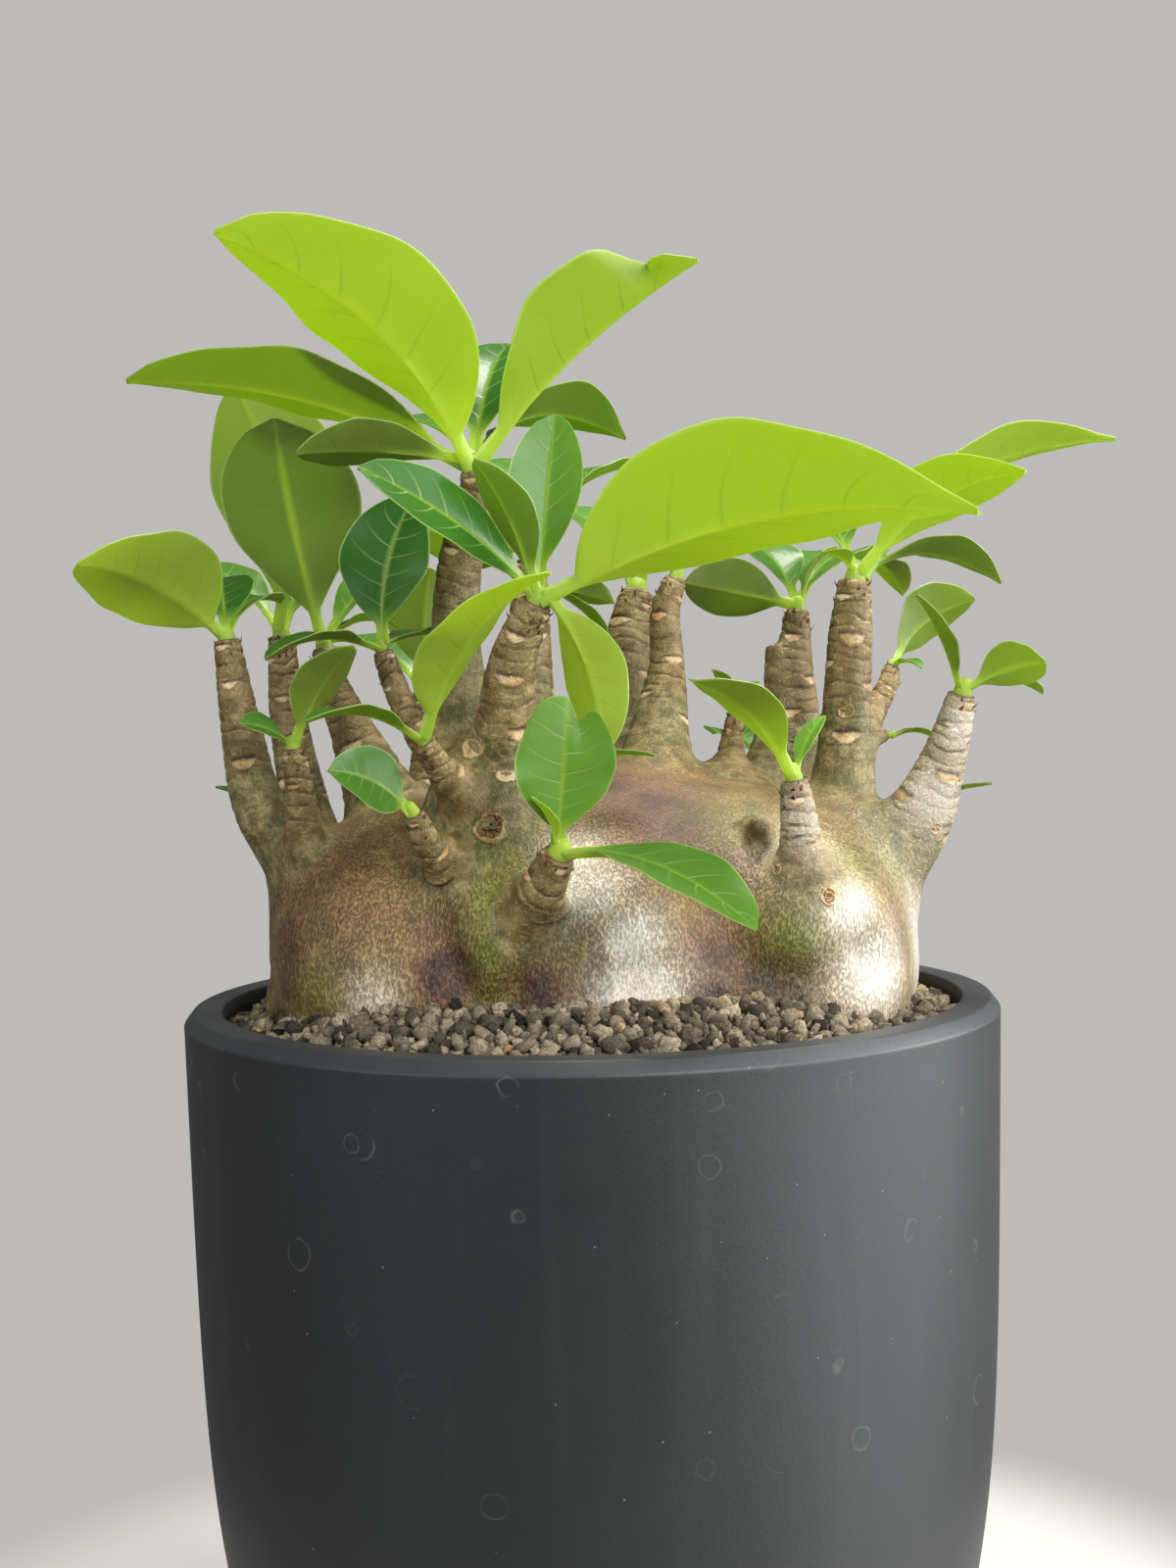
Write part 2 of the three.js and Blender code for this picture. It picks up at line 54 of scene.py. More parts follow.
# Branches in millimetres, from inside the caudex to the tip: x, y, z and radius
branches = {
    "far_left": [(-46, -5, 155, 9), (-54, -7, 165, 5.8), (-60, -8, 175, 4.8), (-63, -8, 190, 3.6),
                 (-65, -8, 205, 2.4)],
    "left_back": [(-44, 14, 150, 9), (-54, 21, 168, 5), (-59, 24, 190, 3.7), (-60, 24, 207, 2.6)],
    "left_inner": [(-32, 7, 156, 12), (-38, 10, 171, 8), (-45, 12, 188, 4.2), (-49, 13, 198, 3),
                   (-50, 13, 204, 2.5)],
    "left_small": [(-44, -10, 154, 8), (-50, -14, 166, 3.6), (-51, -17, 176, 2.6), (-52, -18, 185, 2)],
    "front_trunk": [(-18, -16, 140, 17), (-18, -22, 158, 12), (-18, -22, 171, 9.6), (-18, -20, 181, 8)],
    "front_tall": [(-18, -18, 172, 8), (-21, -13, 186, 5.6), (-23.3, -9, 204, 4.4), (-22, -8, 219, 4),
                   (-19, -11, 230, 2.9), (-19, -12, 234, 2.4)],
    "front_short": [(-17, -21, 174, 8), (-14, -28, 189, 5), (-12, -31, 200, 4), (-8, -34, 209, 2.8)],
    "front_twig": [(-24, -14, 181, 4.5), (-31, -14, 189, 2.4), (-34, -14, 196, 2.2), (-36, -14, 202, 1.9)],
    "front_spur": [(-20, -28, 175, 5), (-25, -35, 182, 2.3), (-27, -38, 186, 1.8)],
    "front_sprout": [(-15, -24, 179, 3), (-10, -23, 181, 1.6), (-7, -23, 182, 1.2)],
    "low_spur": [(-20, -28, 162, 6), (-27, -37, 169, 2.5), (-29, -40, 174, 1.9)],
    "middle_twig": [(-14, -28, 147, 9), (-11, -37, 155, 5.2), (-8, -42.5, 161, 3.9), (-5, -46, 167, 2.8)],
    "back_tall": [(-14, 16, 166, 13), (-12, 21, 188, 6), (-11, 24, 206, 4.4), (-10, 24, 221, 2.8)],
    "centre": [(12, 4, 170, 10), (14, 11, 186, 5.8), (16, 15, 199, 3.4), (16, 16, 210, 2.8),
               (18, 17, 216, 2.2)],
    "back_thick": [(8, 22, 166, 12), (8, 32, 188, 6), (9, 35, 204, 5), (11, 38, 215, 3.4)],
    "back_right": [(38, 18, 164, 11), (42, 27, 185, 5.2), (42, 28, 199, 3.8), (43, 28, 210, 2.4)],
    "back_stub": [(35, 20, 174, 6), (38, 25, 190, 2.8), (38, 26, 203, 1.8)],
    "right_tall": [(46, 0, 158, 12), (48, 2, 173, 6.2), (49, 2, 190, 4.5), (50, 2, 204, 4.1),
                   (51, 2, 214, 3)],
    "right_twig": [(48, 6, 178, 5), (56, 18, 189, 2.6), (60, 22, 195, 2), (61, 24, 198, 1.7)],
    "right_sprout": [(49, 3, 180, 4), (54, 5, 184, 1.7), (57, 6, 185, 1.2)],
    "right_arm": [(42, -2, 152, 14), (54, -5, 162, 8.4), (61, -8, 171, 6), (65, -10, 181, 4),
                  (68, -12, 192, 2.6)],
    "right_low": [(38, -20, 147, 12), (37.5, -26, 155, 8), (37, -30.5, 160.5, 5), (36.5, -32.5, 164.5, 3.6),
                  (36, -33.5, 169, 3.35), (35.5, -34.5, 174, 2.9), (35, -35, 178, 2.3)],
    "stub": [(27, 8, 170, 9), (28, 14, 181, 2.8), (29, 14, 190, 1.5)],
    "back_left": [(-30, 26, 156, 10), (-33, 38, 170, 5), (-33, 46, 184, 3.6), (-34, 50, 196, 2.5)],
    "back_low": [(30, 30, 154, 9), (36, 42, 166, 4.4), (38, 50, 178, 2.6)],
    "bud_knob": [(29, -23, 169, 2.4), (29.8, -27.4, 170.2, 1.9), (30, -29.4, 170.9, 0.9)],
}


# Leaves of each rosette, in millimetres and degrees. A leaf's tip lies x, y, z from the end of its branch,
# and then come its width, its roll about its own length, and how far its middle arches up and bends sideways.
# Fold is the rise of its halves, taper sets where it is widest, heel and point how full it is at its foot and
# tip, notch and curl shape its tip, and age runs from dark green to yellow-green. This value stands for
# yellowing as a leaf grows old and also for painted light and shade: low on leaves shaded by others, high on
# leaves that glow with light through them or show a pale sheen.
def leaf(tip, width, roll=0, arch=0, bend=0, fold=0.2, taper=1.1, notch=0, curl=0, heel=0.95, point=0.6,
         ageAndLight=None):
    return {"tip": np.array(tip, float), "width": width, "roll": roll, "arch": arch, "bend": bend,
            "fold": fold, "taper": taper, "notch": notch, "curl": curl, "heel": heel, "point": point,
            "ageAndLight": ageAndLight}


rosettes = {
    "far_left": [
        leaf((-21, -22, 13), 24, 32, 4, taper=0.75, ageAndLight=0.9), leaf((-5, 20, 13), 12, 0, 3),
        leaf((8, 14, 8), 9, 0, 3),
    ],
    "left_back": [
        leaf((-7, -6, 50), 27, 42, 2, 4, taper=1.2, ageAndLight=0.4), leaf((10, 26, 18), 18, 0, 4),
        leaf((-24, 16, 16), 15, 0, 4),
    ],
    "left_inner": [
        leaf((-6, -16, 42), 27, 15, 3, -1.5, 0.12, taper=1.3, ageAndLight=0), leaf((14, 4, 4), 9, 0, 3),
        leaf((18, 22, 20), 14, 0, 3),
    ],
    "left_small": [leaf((12, -8, 18), 11, -10, 2), leaf((-8, -8, 5), 7, -40, 1)],
    "front_tall": [
        leaf((-40, -30, 36.5), 31, 15, 3.4, 6.5, 0.25, 0.95, ageAndLight=0.95),
        leaf((-62, 0, 18), 26, 16, 5, taper=0.85, ageAndLight=0.4),
        leaf((40, -14, 34), 27, -8, 3, fold=0.5, taper=1.25, curl=-1, point=0.45, ageAndLight=0.75),
        leaf((-30, -14, 2.5), 14, 28, 1.5, taper=1.3, ageAndLight=0.2),
        leaf((6, 26, 28), 17, 0, 4),
        leaf((28, 30, 10), 18, -20, 7, point=1.0),
        leaf((-22, 22, 12), 16, 0, 4),
    ],
    "front_short": [
        leaf((66, -46, 9), 33, -30, 8, fold=0.4, taper=0.84, heel=0.75, point=1.0, ageAndLight=0.9),
        leaf((-27, -20, 21), 14, -60, 2.5),
        leaf((-9, -12, 23), 10, 0, 2),
        leaf((4, 8, 33), 13, 14, 1, fold=0.42, ageAndLight=0.5),
        leaf((10.5, -11, -26), 13, -100, 2, -2, ageAndLight=0.9),
        leaf((13.4, 6, 0.2), 6, -40, 1),
        leaf((12.4, 4, -6), 5, 0, 1),
    ],
    "front_twig": [leaf((-19, -14, -1), 10, 0, 3), leaf((6, 2, 28), 18, 50, 1, 2, ageAndLight=0),
                   leaf((10, 16, 4), 8, 0, 1)],
    "front_spur": [leaf((-18, -14, 4), 9, 0, 3), leaf((22, -26, 26), 17, 13, 4.5, taper=0.85, ageAndLight=1)],
    "front_sprout": [leaf((19, -1, 1), 4, 0, 1)],
    "low_spur": [leaf((-12, -14, 8), 11, -75, 1, -1.5, taper=0.9)],
    "middle_twig": [
        leaf((2, -5, 22.3), 16.8, 170, 0, taper=1.0, notch=3.4, ageAndLight=0.6),
        leaf((30, -26, -10), 16, 8, 4, ageAndLight=0.45),
        leaf((-3.8, -6, 10), 5, -30, 1, ageAndLight=1),
    ],
    "back_tall": [leaf((22, 10, 20), 18, 0, 5), leaf((-26, 10, 8), 18, 60, 3), leaf((-2, 30, 24), 20, 0, 4)],
    "centre": [leaf((16, -4, 16), 12, 0, 4), leaf((10, 22, 20), 16, 0, 4), leaf((-12, 4, 20), 12, 0, 3)],
    "back_thick": [leaf((-16, 18, 20), 18, 0, 4), leaf((14, 20, 20), 18, 0, 4)],
    "back_right": [leaf((-23, -6, 6), 13, 60, 1), leaf((8, 0, 13), 8, 0, 2), leaf((-10, 16, 16), 14, 0, 3),
                   leaf((16, 20, 12), 16, 0, 4)],
    "right_tall": [
        leaf((54, 18, 28), 20, -24, 8, point=1.2, ageAndLight=0.7),
        leaf((27, -24, 17), 16, -28, 6, point=0.8, ageAndLight=0.9),
        leaf((30, 12, 0), 14, -10, 5, point=1.0),
        leaf((-7, -8, 5), 6, 0, 1),
        leaf((-14, 20, 22), 18, 0, 4),
        leaf((11, 12, -2), 8, 0, 3),
    ],
    "right_twig": [leaf((18, 6, 14), 15, -55, 4), leaf((5, -6, 0), 4, 0, 1)],
    "right_sprout": [leaf((11, 2, -2), 4, 0, 2)],
    "right_arm": [leaf((-9, -8, 18), 8, -30, 1), leaf((13, -10, 5.5), 10, -50, 2),
                  leaf((16.6, 8, 0.4), 6, 0, 2)],
    "right_low": [leaf((-18, -24, 17), 12, 0, 3.5, ageAndLight=0.7), leaf((6, 5, 11), 5, 0, 1)],
    "stub": [leaf((5, 4, 6), 5, 0, 1), leaf((-4.5, -4, 8.5), 4, 0, 1, ageAndLight=0)],
    "back_left": [leaf((-22, 16, 12), 18, 0, 4), leaf((8, 28, 16), 18, 0, 4), leaf((2, -4, 26), 16, 0, 2)],
    "back_low": [leaf((20, 18, 10), 16, 0, 4), leaf((-10, 18, 8), 14, 0, 3)],
}


def linearColour(hexText):
    shares = [int(hexText[i:i + 2], 16) / 255 for i in (1, 3, 5)]
    return [s / 12.92 if s <= 0.04045 else ((s + 0.055) / 1.055) ** 2.4 for s in shares] + [1.0]


# Adds a node, sets its own settings, then sets or links its inputs, by name or as a list in their order.
# A node as a value stands for its first output, and a hex text for its colour.
def addNode(tree, kind, inputs=(), **settings):
    node = tree.nodes.new(kind if "Node" in kind else "ShaderNode" + kind)
    for name, value in settings.items():
        setattr(node, name, value)
    sockets = [socket for socket in node.inputs if socket.enabled]
    if isinstance(inputs, dict):
        sockets = [next(socket for socket in sockets if socket.name == name) for name in inputs]
        inputs = inputs.values()
    for socket, value in zip(sockets, inputs):
        for source in value if isinstance(value, list) else [value]:
            if isinstance(source, bpy.types.Node):
                source = next(output for output in source.outputs if output.enabled)
            if isinstance(source, bpy.types.NodeSocket):
                tree.links.new(source, socket)
            elif str(source).startswith("#"):
                socket.default_value = linearColour(source)
            else:
                socket.default_value = source
    return node


# A material whose shader is what build returns, given the function that adds its nodes
def newMaterial(name, build):
    material = bpy.data.materials.new(name)
    material.use_nodes = True
    material.node_tree.nodes.clear()
    add = partial(addNode, material.node_tree)
    add("OutputMaterial", {"Surface": build(add)})
    return material


def addObject(name, data):
    thing = bpy.data.objects.new(name, data)
    bpy.context.scene.collection.objects.link(thing)
    return thing


def meshOf(name, points, faces):
    mesh = bpy.data.meshes.new(name)
    mesh.from_pydata((np.asarray(points) * mm).tolist(), [], [list(map(int, face)) for face in faces])
    return mesh


def shadeSmooth(mesh, sharpAngle=None):
    mesh.polygons.foreach_set("use_smooth", [True] * len(mesh.polygons))
    if sharpAngle is not None:
        mesh.set_sharp_from_angle(angle=math.radians(sharpAngle))


# A mesh object from points in millimetres
def makePiece(name, points, faces, material, sharpAngle=None):
    mesh = meshOf(name, points, faces)
    mesh.validate()
    shadeSmooth(mesh, sharpAngle)
    mesh.materials.append(material)
    return addObject(name, mesh)


def storeValues(mesh, name, values, kind="FLOAT"):
    attribute = mesh.attributes.new(name, kind, "POINT")
    key = {"FLOAT": "value", "FLOAT_COLOR": "color", "FLOAT_VECTOR": "vector"}[kind]
    attribute.data.foreach_set(key, np.asarray(values, np.float32).ravel())


def settle(piece, slot, *nodes):
    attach(piece, "root")
    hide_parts(*nodes)


# The piece's modifiers made real in its mesh
def applyModifiers(piece):
    depsgraph = bpy.context.evaluated_depsgraph_get()
    finished = bpy.data.meshes.new_from_object(piece.evaluated_get(depsgraph), depsgraph=depsgraph)
    piece.modifiers.clear()
    rough = piece.data
    piece.data = finished
    bpy.data.meshes.remove(rough)
    finished.name = piece.name


# A tree that scatters what build returns over a sheet, with named inputs for its sizes, and gives each copy
# a tone of its own
def scatterTree(name, sizes, material, build):
    tree = bpy.data.node_groups.new(name, "GeometryNodeTree")
    for label, kind in [("Sheet", "Geometry"), *[(size, "Float") for size in sizes], ("Seed", "Int")]:
        tree.interface.new_socket(label, in_out="INPUT", socket_type="NodeSocket" + kind)
    tree.interface.new_socket("Copies", in_out="OUTPUT", socket_type="NodeSocketGeometry")
    add = partial(addNode, tree)
    given = add("NodeGroupInput").outputs
    copies = build(add, given)
    chance = add("FunctionNodeRandomValue", {"Seed": given["Seed"]}, data_type="FLOAT")
    toned = add("GeometryNodeStoreNamedAttribute", {"Geometry": copies, "Name": "tone", "Value": chance},
                data_type="FLOAT", domain="INSTANCE")
    real = add("GeometryNodeRealizeInstances", [toned])
    dressed = add("GeometryNodeSetMaterial", {"Geometry": real, "Material": material})
    add("NodeGroupOutput", [dressed])
    return tree


# The copies that a tree scatters over a sheet, as a piece
def scatterOver(name, sheet, tree, **given):
    piece = addObject(name, sheet)
    scatter = piece.modifiers.new(tree.name, "NODES")
    scatter.node_group = tree
    for item in tree.interface.items_tree:
        if item.name in given:
            scatter[item.identifier] = given[item.name]
    applyModifiers(piece)
    return piece


def circlePoints(radius, z, sides):
    angles = 2 * np.pi * np.arange(sides) / sides
    return np.stack([radius * np.cos(angles), radius * np.sin(angles), np.broadcast_to(z, sides)], 1)


# Points of a circle of radius 1 in the plane of two directions
def circleAbout(across, along, sides):
    x, y, _ = circlePoints(1, 0, sides).T
    return x[:, None] * across + y[:, None] * along


# Squares between rings of points that follow one another, the first point's number being first
def ringFaces(rings, sides, first=0):
    faces = []
    for low in range(first, first + (rings - 1) * sides, sides):
        for k in range(sides):
            after = (k + 1) % sides
            faces.append((low + k, low + after, low + sides + after, low + sides + k))
    return faces


# A closed shell from its first pole over rings of points to its last pole
def shellOf(start, rings, end):
    sides = len(rings[0])
    points = np.concatenate([[start], *rings, [end]])
    last = len(points) - 1
    faces = ringFaces(len(rings), sides, 1)
    for k in range(sides):
        after = (k + 1) % sides
        faces += [(0, 1 + after, 1 + k), (last, last - sides + k, last - sides + after)]
    return points, faces


# Several shapes as one: their points, and their faces by the numbers that the points get
def joinShapes(shapes):
    points, faces = [], []
    for spots, sides in shapes:
        faces += [[len(points) + corner for corner in side] for side in sides]
        points += list(spots)
    return np.array(points), faces


# The eight corners of a cell, and a blend of their values by where each point lies in its cell
corners = [(i, j, k) for i in (0, 1) for j in (0, 1) for k in (0, 1)]


def blendCorners(part, valueAt):
    total = np.zeros(len(part))
    for i, j, k in corners:
        share = (np.where(i, part[:, 0], 1 - part[:, 0]) * np.where(j, part[:, 1], 1 - part[:, 1])
                 * np.where(k, part[:, 2], 1 - part[:, 2]))
        total += share * valueAt(i, j, k)
    return total


# Smooth repeatable noise from about -1 to 1, one value for each point, with lumps of the given size
def softNoise(points, size, seed=0):
    spots = np.asarray(points, float) / size + 37.3 * (seed + 1)
    cell = np.floor(spots).astype(np.int64)
    part = spots - cell

    def cornerValue(i, j, k):
        mixed = (cell[:, 0] + i) * 73856093 ^ (cell[:, 1] + j) * 19349663 ^ (cell[:, 2] + k) * 83492791
        mixed = (mixed ^ (mixed >> 13)) * 1274126177
        return (mixed & 0xFFFF) / 32767.5 - 1

    return blendCorners(part * part * (3 - 2 * part), cornerValue)


def smoothStep(low, high, values):
    share = np.clip((np.asarray(values, float) - low) / (high - low), 0, 1)
    return share * share * (3 - 2 * share)


# 1 at the middle of a line or dip, and falling off smoothly over its width
def bell(away, width):
    return np.exp(-(away / width) ** 2)


def unit(vector):
    return vector / np.linalg.norm(vector)


# The camera stands where the photograph was taken, level with the leaves and a little above the rim
view = {"place": (0.00017, -0.366, 0.1884), "pitchDown": 1.75, "leanRight": 1.32, "lens": 45, "sensor": 36}
print("camera and light")


def placeCamera():
    data = bpy.data.cameras.new("camera")
    data.lens = view["lens"]
    data.sensor_width = view["sensor"]
    data.clip_start = 0.01
    data.dof.use_dof = False
    camera = addObject("camera", data)
    pitch = math.radians(view["pitchDown"])
    lean = math.radians(view["leanRight"])
    ahead = Vector((0, math.cos(pitch), -math.sin(pitch)))
    up = Vector((0, math.sin(pitch), math.cos(pitch)))
    right = Vector((1, 0, 0))
    across = math.cos(lean) * right - math.sin(lean) * up
    upward = math.sin(lean) * right + math.cos(lean) * up
    turn = Matrix((across, upward, -ahead)).transposed().to_4x4()
    camera.matrix_world = Matrix.Translation(view["place"]) @ turn
    bpy.context.scene.camera = camera


placeCamera()
bpy.context.scene.view_settings.view_transform = "Standard"  # keeps the leaves' full yellow-green

# A broad soft light above and a little behind, one in front at the right, one low at the right for the bark's
# sheen and a weak one at the left. The window only shows as a broad sheen on what is glossy, as on the pot's
# right side.
lights = [
    {"name": "above", "place": (0.12, 0.14, 0.95), "aim": (0, 0, 0.2), "size": 0.40, "power": 12,
     "colour": "#fffaf2"},
    {"name": "front", "place": (0.45, -0.80, 0.62), "aim": (0, 0, 0.18), "size": 0.70, "power": 12,
     "colour": "#ffffff"},
    {"name": "right", "place": (0.80, 0.05, 0.38), "aim": (0, 0, 0.16), "size": 0.45, "power": 6,
     "colour": "#ffffff"},
    {"name": "left", "place": (-0.75, -0.65, 0.45), "aim": (0, 0, 0.15), "size": 0.80, "power": 4,
     "colour": "#f4f8ff"},
    {"name": "window", "place": (1.25, -0.35, 0.30), "aim": (0, 0, 0.10), "size": 2.2, "power": 42,
     "colour": "#fbfdff", "glossOnly": True},
]
surroundings = {"colour": "#b2b0ae", "seen": 1.15, "shed": 0.45}


def placeLights():
    for light in lights:
        data = bpy.data.lights.new(light["name"], "AREA")
        data.shape = "DISK"
        data.size = light["size"]
        data.energy = light["power"]
        data.color = linearColour(light["colour"])[:3]
        lamp = addObject(light["name"], data)
        lamp.location = light["place"]
        aim = Vector(light["aim"]) - Vector(light["place"])
        lamp.rotation_euler = aim.to_track_quat("-Z", "Y").to_euler()
        lamp.visible_diffuse = not light.get("glossOnly")
        lamp.visible_transmission = not light.get("glossOnly")
    world = bpy.data.worlds.new("surroundings")
    world.use_nodes = True
    world.node_tree.nodes.clear()
    add = partial(addNode, world.node_tree)
    # The grey is seen brighter than the light that it sheds, which leaves depth between the leaves
    ray = add("LightPath").outputs["Is Camera Ray"]
    strength = add("MapRange", [ray, 0, 1, surroundings["shed"], surroundings["seen"]])
    grey = add("Background", {"Color": surroundings["colour"], "Strength": strength})
    add("OutputWorld", {"Surface": grey})
    bpy.context.scene.world = world


placeLights()

# A pale floor in metres that fades into the grey around it
floorSizes = {"radius": 1.6, "sides": 96, "fadeFrom": 0.12, "fadeTo": 0.17, "colour": "#b4b3b1",
              "roughness": 0.7}


def floorPaint(add):
    reach = add("VectorMath", [add("TexCoord").outputs["Object"]], operation="LENGTH")
    span = [reach, floorSizes["fadeFrom"], floorSizes["fadeTo"]]
    fade = add("MapRange", span, interpolation_type="SMOOTHSTEP")
    paint = add("BsdfPrincipled", {"Base Color": floorSizes["colour"], "Roughness": floorSizes["roughness"]})
    return add("MixShader", [fade, paint, add("BsdfTransparent")])


floorRim = circlePoints(floorSizes["radius"] / mm, 0, floorSizes["sides"])
floor = makePiece("floor", floorRim, [range(len(floorRim))], newMaterial("pale painted floor", floorPaint))

# Pot, in millimetres: a thick flat rim with a chamfered edge, a slight taper and a foot that curls in
print("pot")
potSizes = {
    "height": 138, "radius": 75, "taper": 0.02, "curl": 4.1, "curlDepth": 107, "rimWidth": 5.1,
    "chamferDrop": 2.2, "chamferInset": 1.7, "wall": 4, "floor": 5, "footRound": 6, "holeRadius": 5,
    "holeRing": 33, "holeCount": 5, "sides": 160, "edgeRound": 0.35, "sharpAngle": 35,
}


def outerRadius(height):
    depth = potSizes["height"] - height
    curl = potSizes["curl"] * (depth / potSizes["curlDepth"]) ** 5
    return potSizes["radius"] - potSizes["taper"] * depth - curl


def innerRadius(height):
    rimInner = potSizes["radius"] - potSizes["chamferInset"] - potSizes["rimWidth"]
    return min(rimInner, outerRadius(height) - potSizes["wall"])


# Moulded polypropylene, charcoal and matte: faint dried water rings, dust specks and pale streaks on it
def potPlastic(add):
    place = add("TexCoord").outputs["Object"]
    clouds = add("TexNoise", {"Vector": place, "Scale": 22, "Detail": 7, "Roughness": 0.62})
    tone = add("Mix", [clouds, "#17181a", "#232627"], data_type="RGBA")
    # Outlines of dried drops 3 to 6 mm across, in cells of 11 mm
    wobble = add("TexNoise", {"Vector": place, "Scale": 420, "Detail": 3}).outputs["Color"]
    bent = add("VectorMath", [wobble, (0.0012, 0.0012, 0.0012), place], operation="MULTIPLY_ADD")
    drops = add("TexVoronoi", {"Vector": bent, "Scale": 92})
    chance, size, _ = add("SeparateColor", [drops.outputs["Color"]]).outputs
    radius = add("Math", [size, 0.14, 0.12], operation="MULTIPLY_ADD")
    fromRing = add("Math", [add("Math", [drops, radius], operation="SUBTRACT")], operation="ABSOLUTE")
    ring = add("MapRange", [fromRing, 0, 0.02, 0.34, 0])
    chosen = add("MapRange", [chance, 0.25, 0.9])
    uneven = add("TexNoise", {"Vector": place, "Scale": 150, "Detail": 2})
    ringShare = add("Math", [ring, chosen], operation="MULTIPLY")
    ringPatch = add("Math", [ringShare, add("MapRange", [uneven, 0.38, 0.62])], operation="MULTIPLY")
    # Dust specks about 0.3 mm across
    speck = add("MapRange", [add("TexVoronoi", {"Vector": place, "Scale": 210}), 0.02, 0.045, 0.7, 0])
    # Pale streaks that run down the wall
    stretched = add("Mapping", {"Vector": place, "Scale": (1, 1, 0.06)})
    streaks = add("TexNoise", {"Vector": stretched, "Scale": 130, "Detail": 4})
    marks = add("Math", [ringPatch, speck], operation="MAXIMUM")
    weathering = add("Math", [marks, add("MapRange", [streaks, 0.55, 0.85, 0, 0.05])], operation="MAXIMUM")
    dusty = add("Math", [weathering, 0.45], operation="MULTIPLY")
    marked = add("Mix", [dusty, tone, "#b9bcbd"], data_type="RGBA")
    # The rim is lighter blue-grey towards its top, unevenly with the clouds
    height = add("SeparateXYZ", [place]).outputs["Z"]
    rimLighter = add("Math", [add("MapRange", [height, 0.1354, 0.1362, 0, 0.32]), clouds], operation="MULTIPLY")
    colour = add("Mix", [rimLighter, marked, "#5c6367"], data_type="RGBA")
    grain = add("TexNoise", {"Vector": place, "Scale": 1500, "Detail": 3})
    bump = add("Bump", {"Strength": 0.12, "Distance": 0.0003, "Height": grain})
    roughness = add("MapRange", [clouds, 0, 1, 0.42, 0.6])
    return add("BsdfPrincipled", {"Base Color": colour, "Roughness": roughness, "Normal": bump, "IOR": 1.49})


# Points of an edge rounded about a corner of the profile, between the ways to its two neighbours
def roundCorner(before, corner, after, steps=3):
    before, corner, after = (np.array(p, float) for p in (before, corner, after))
    start = corner + potSizes["edgeRound"] * unit(before - corner)
    end = corner + potSizes["edgeRound"] * unit(after - corner)
    shares = np.linspace(0, 1, steps + 1)[:, None]
    return list((1 - shares) ** 2 * start + 2 * shares * (1 - shares) * corner + shares ** 2 * end)


def makePot():
    height, foot, floorTop = potSizes["height"], potSizes["footRound"], potSizes["floor"]
    shoulder = height - potSizes["chamferDrop"]
    wallOut = [(outerRadius(z), z) for z in np.linspace(foot, shoulder - 1, 40)]
    footAngles = np.radians(np.linspace(-90, 0, 7)[:-1])
    footOut = [(outerRadius(0) - foot + foot * math.cos(a), foot + foot * math.sin(a)) for a in footAngles]
    lower = (potSizes["radius"], shoulder)
    upper = (potSizes["radius"] - potSizes["chamferInset"], height)
    inner = (innerRadius(height), height)
    rim = (roundCorner(wallOut[-1], lower, upper) + roundCorner(lower, upper, inner)
           + roundCorner(upper, inner, (inner[0], height - 5)))
    wallIn = [(innerRadius(z), z) for z in np.linspace(height - 2, floorTop, 30)]
    rings = [circlePoints(radius, z, potSizes["sides"]) for radius, z in [*footOut, *wallOut, *rim, *wallIn]]
    points, faces = shellOf((0, 0, 0), rings, (0, 0, floorTop))
    pot = makePiece("pot_shell", points, faces, newMaterial("moulded polypropylene", potPlastic))
    cutters = []
    for x, y, z in circlePoints(potSizes["holeRing"] * mm, 0, potSizes["holeCount"]):
        bpy.ops.mesh.primitive_cylinder_add(vertices=32, radius=potSizes["holeRadius"] * mm, depth=0.03,
                                            location=(x, y, z))
        cutters.append(bpy.context.object)
        cut = pot.modifiers.new("drain hole", "BOOLEAN")
        cut.object = cutters[-1]
        cut.operation = "DIFFERENCE"
    applyModifiers(pot)
    for cutter in cutters:
        bpy.data.objects.remove(cutter)
    shadeSmooth(pot.data, potSizes["sharpAngle"])
    settle(pot, "plastic", "pot")


makePot()

# Soil, in millimetres: level at the wall, mounded up to the caudex
print("soil")
soilSizes = {"drop": 4.5, "mound": 6.5, "moundRadius": 46, "gap": 0.3, "lumps": 0.7, "lumpSize": 3.5,
             "sides": 180}


def soilLevel(x, y):
    radius = np.hypot(x, y)
    wallInner = innerRadius(potSizes["height"])
    mounded = smoothStep(0, 1, (wallInner - radius) / (wallInner - soilSizes["moundRadius"]))
    return potSizes["height"] - soilSizes["drop"] + soilSizes["mound"] * mounded


# Height of the caudex's underside over each place, or a great height where there is none
def undersideLevel(x, y):
    lowest = np.full(np.shape(x), 1e3)
    for cx, cy, cz, rx, ry, rz in lobes:
        share = 1 - ((x - cx) / rx) ** 2 - ((y - cy) / ry) ** 2
        level = cz - rz * np.sqrt(np.maximum(share, 0))
        lowest = np.where(share > 0, np.minimum(lowest, level), lowest)
    return lowest


# Baked clay and pumice grit: each grain dull, rough and pitted, most of them brown-grey, some tan
def clayGrit(add):
    place = add("TexCoord").outputs["Object"]
    tone = add("Attribute", attribute_name="tone").outputs["Fac"]
    body = add("Mix", [add("MapRange", [tone, 0, 0.86]), "#221b16", "#a09279"], data_type="RGBA")
    tinted = add("Mix", [add("MapRange", [tone, 0.97, 0.99]), body, "#aa8a62"], data_type="RGBA")
    # Pits about 0.6 mm across, bumped, with painted shade darkening the colour in them and a painted
    # highlight lightening the raised grit between them
    pits = add("TexNoise", {"Vector": place, "Scale": 1600, "Detail": 5, "Roughness": 0.7})
    shade = add("MapRange", [pits, 0.33, 0.62, 0.35, 1.35])
    colour = add("VectorMath", [tinted, shade], operation="SCALE")
    bump = add("Bump", {"Strength": 0.9, "Distance": 0.0006, "Height": pits})
    return add("BsdfPrincipled", {
        "Base Color": colour, "Roughness": 0.95, "Specular IOR Level": 0.25, "Normal": bump,
    })


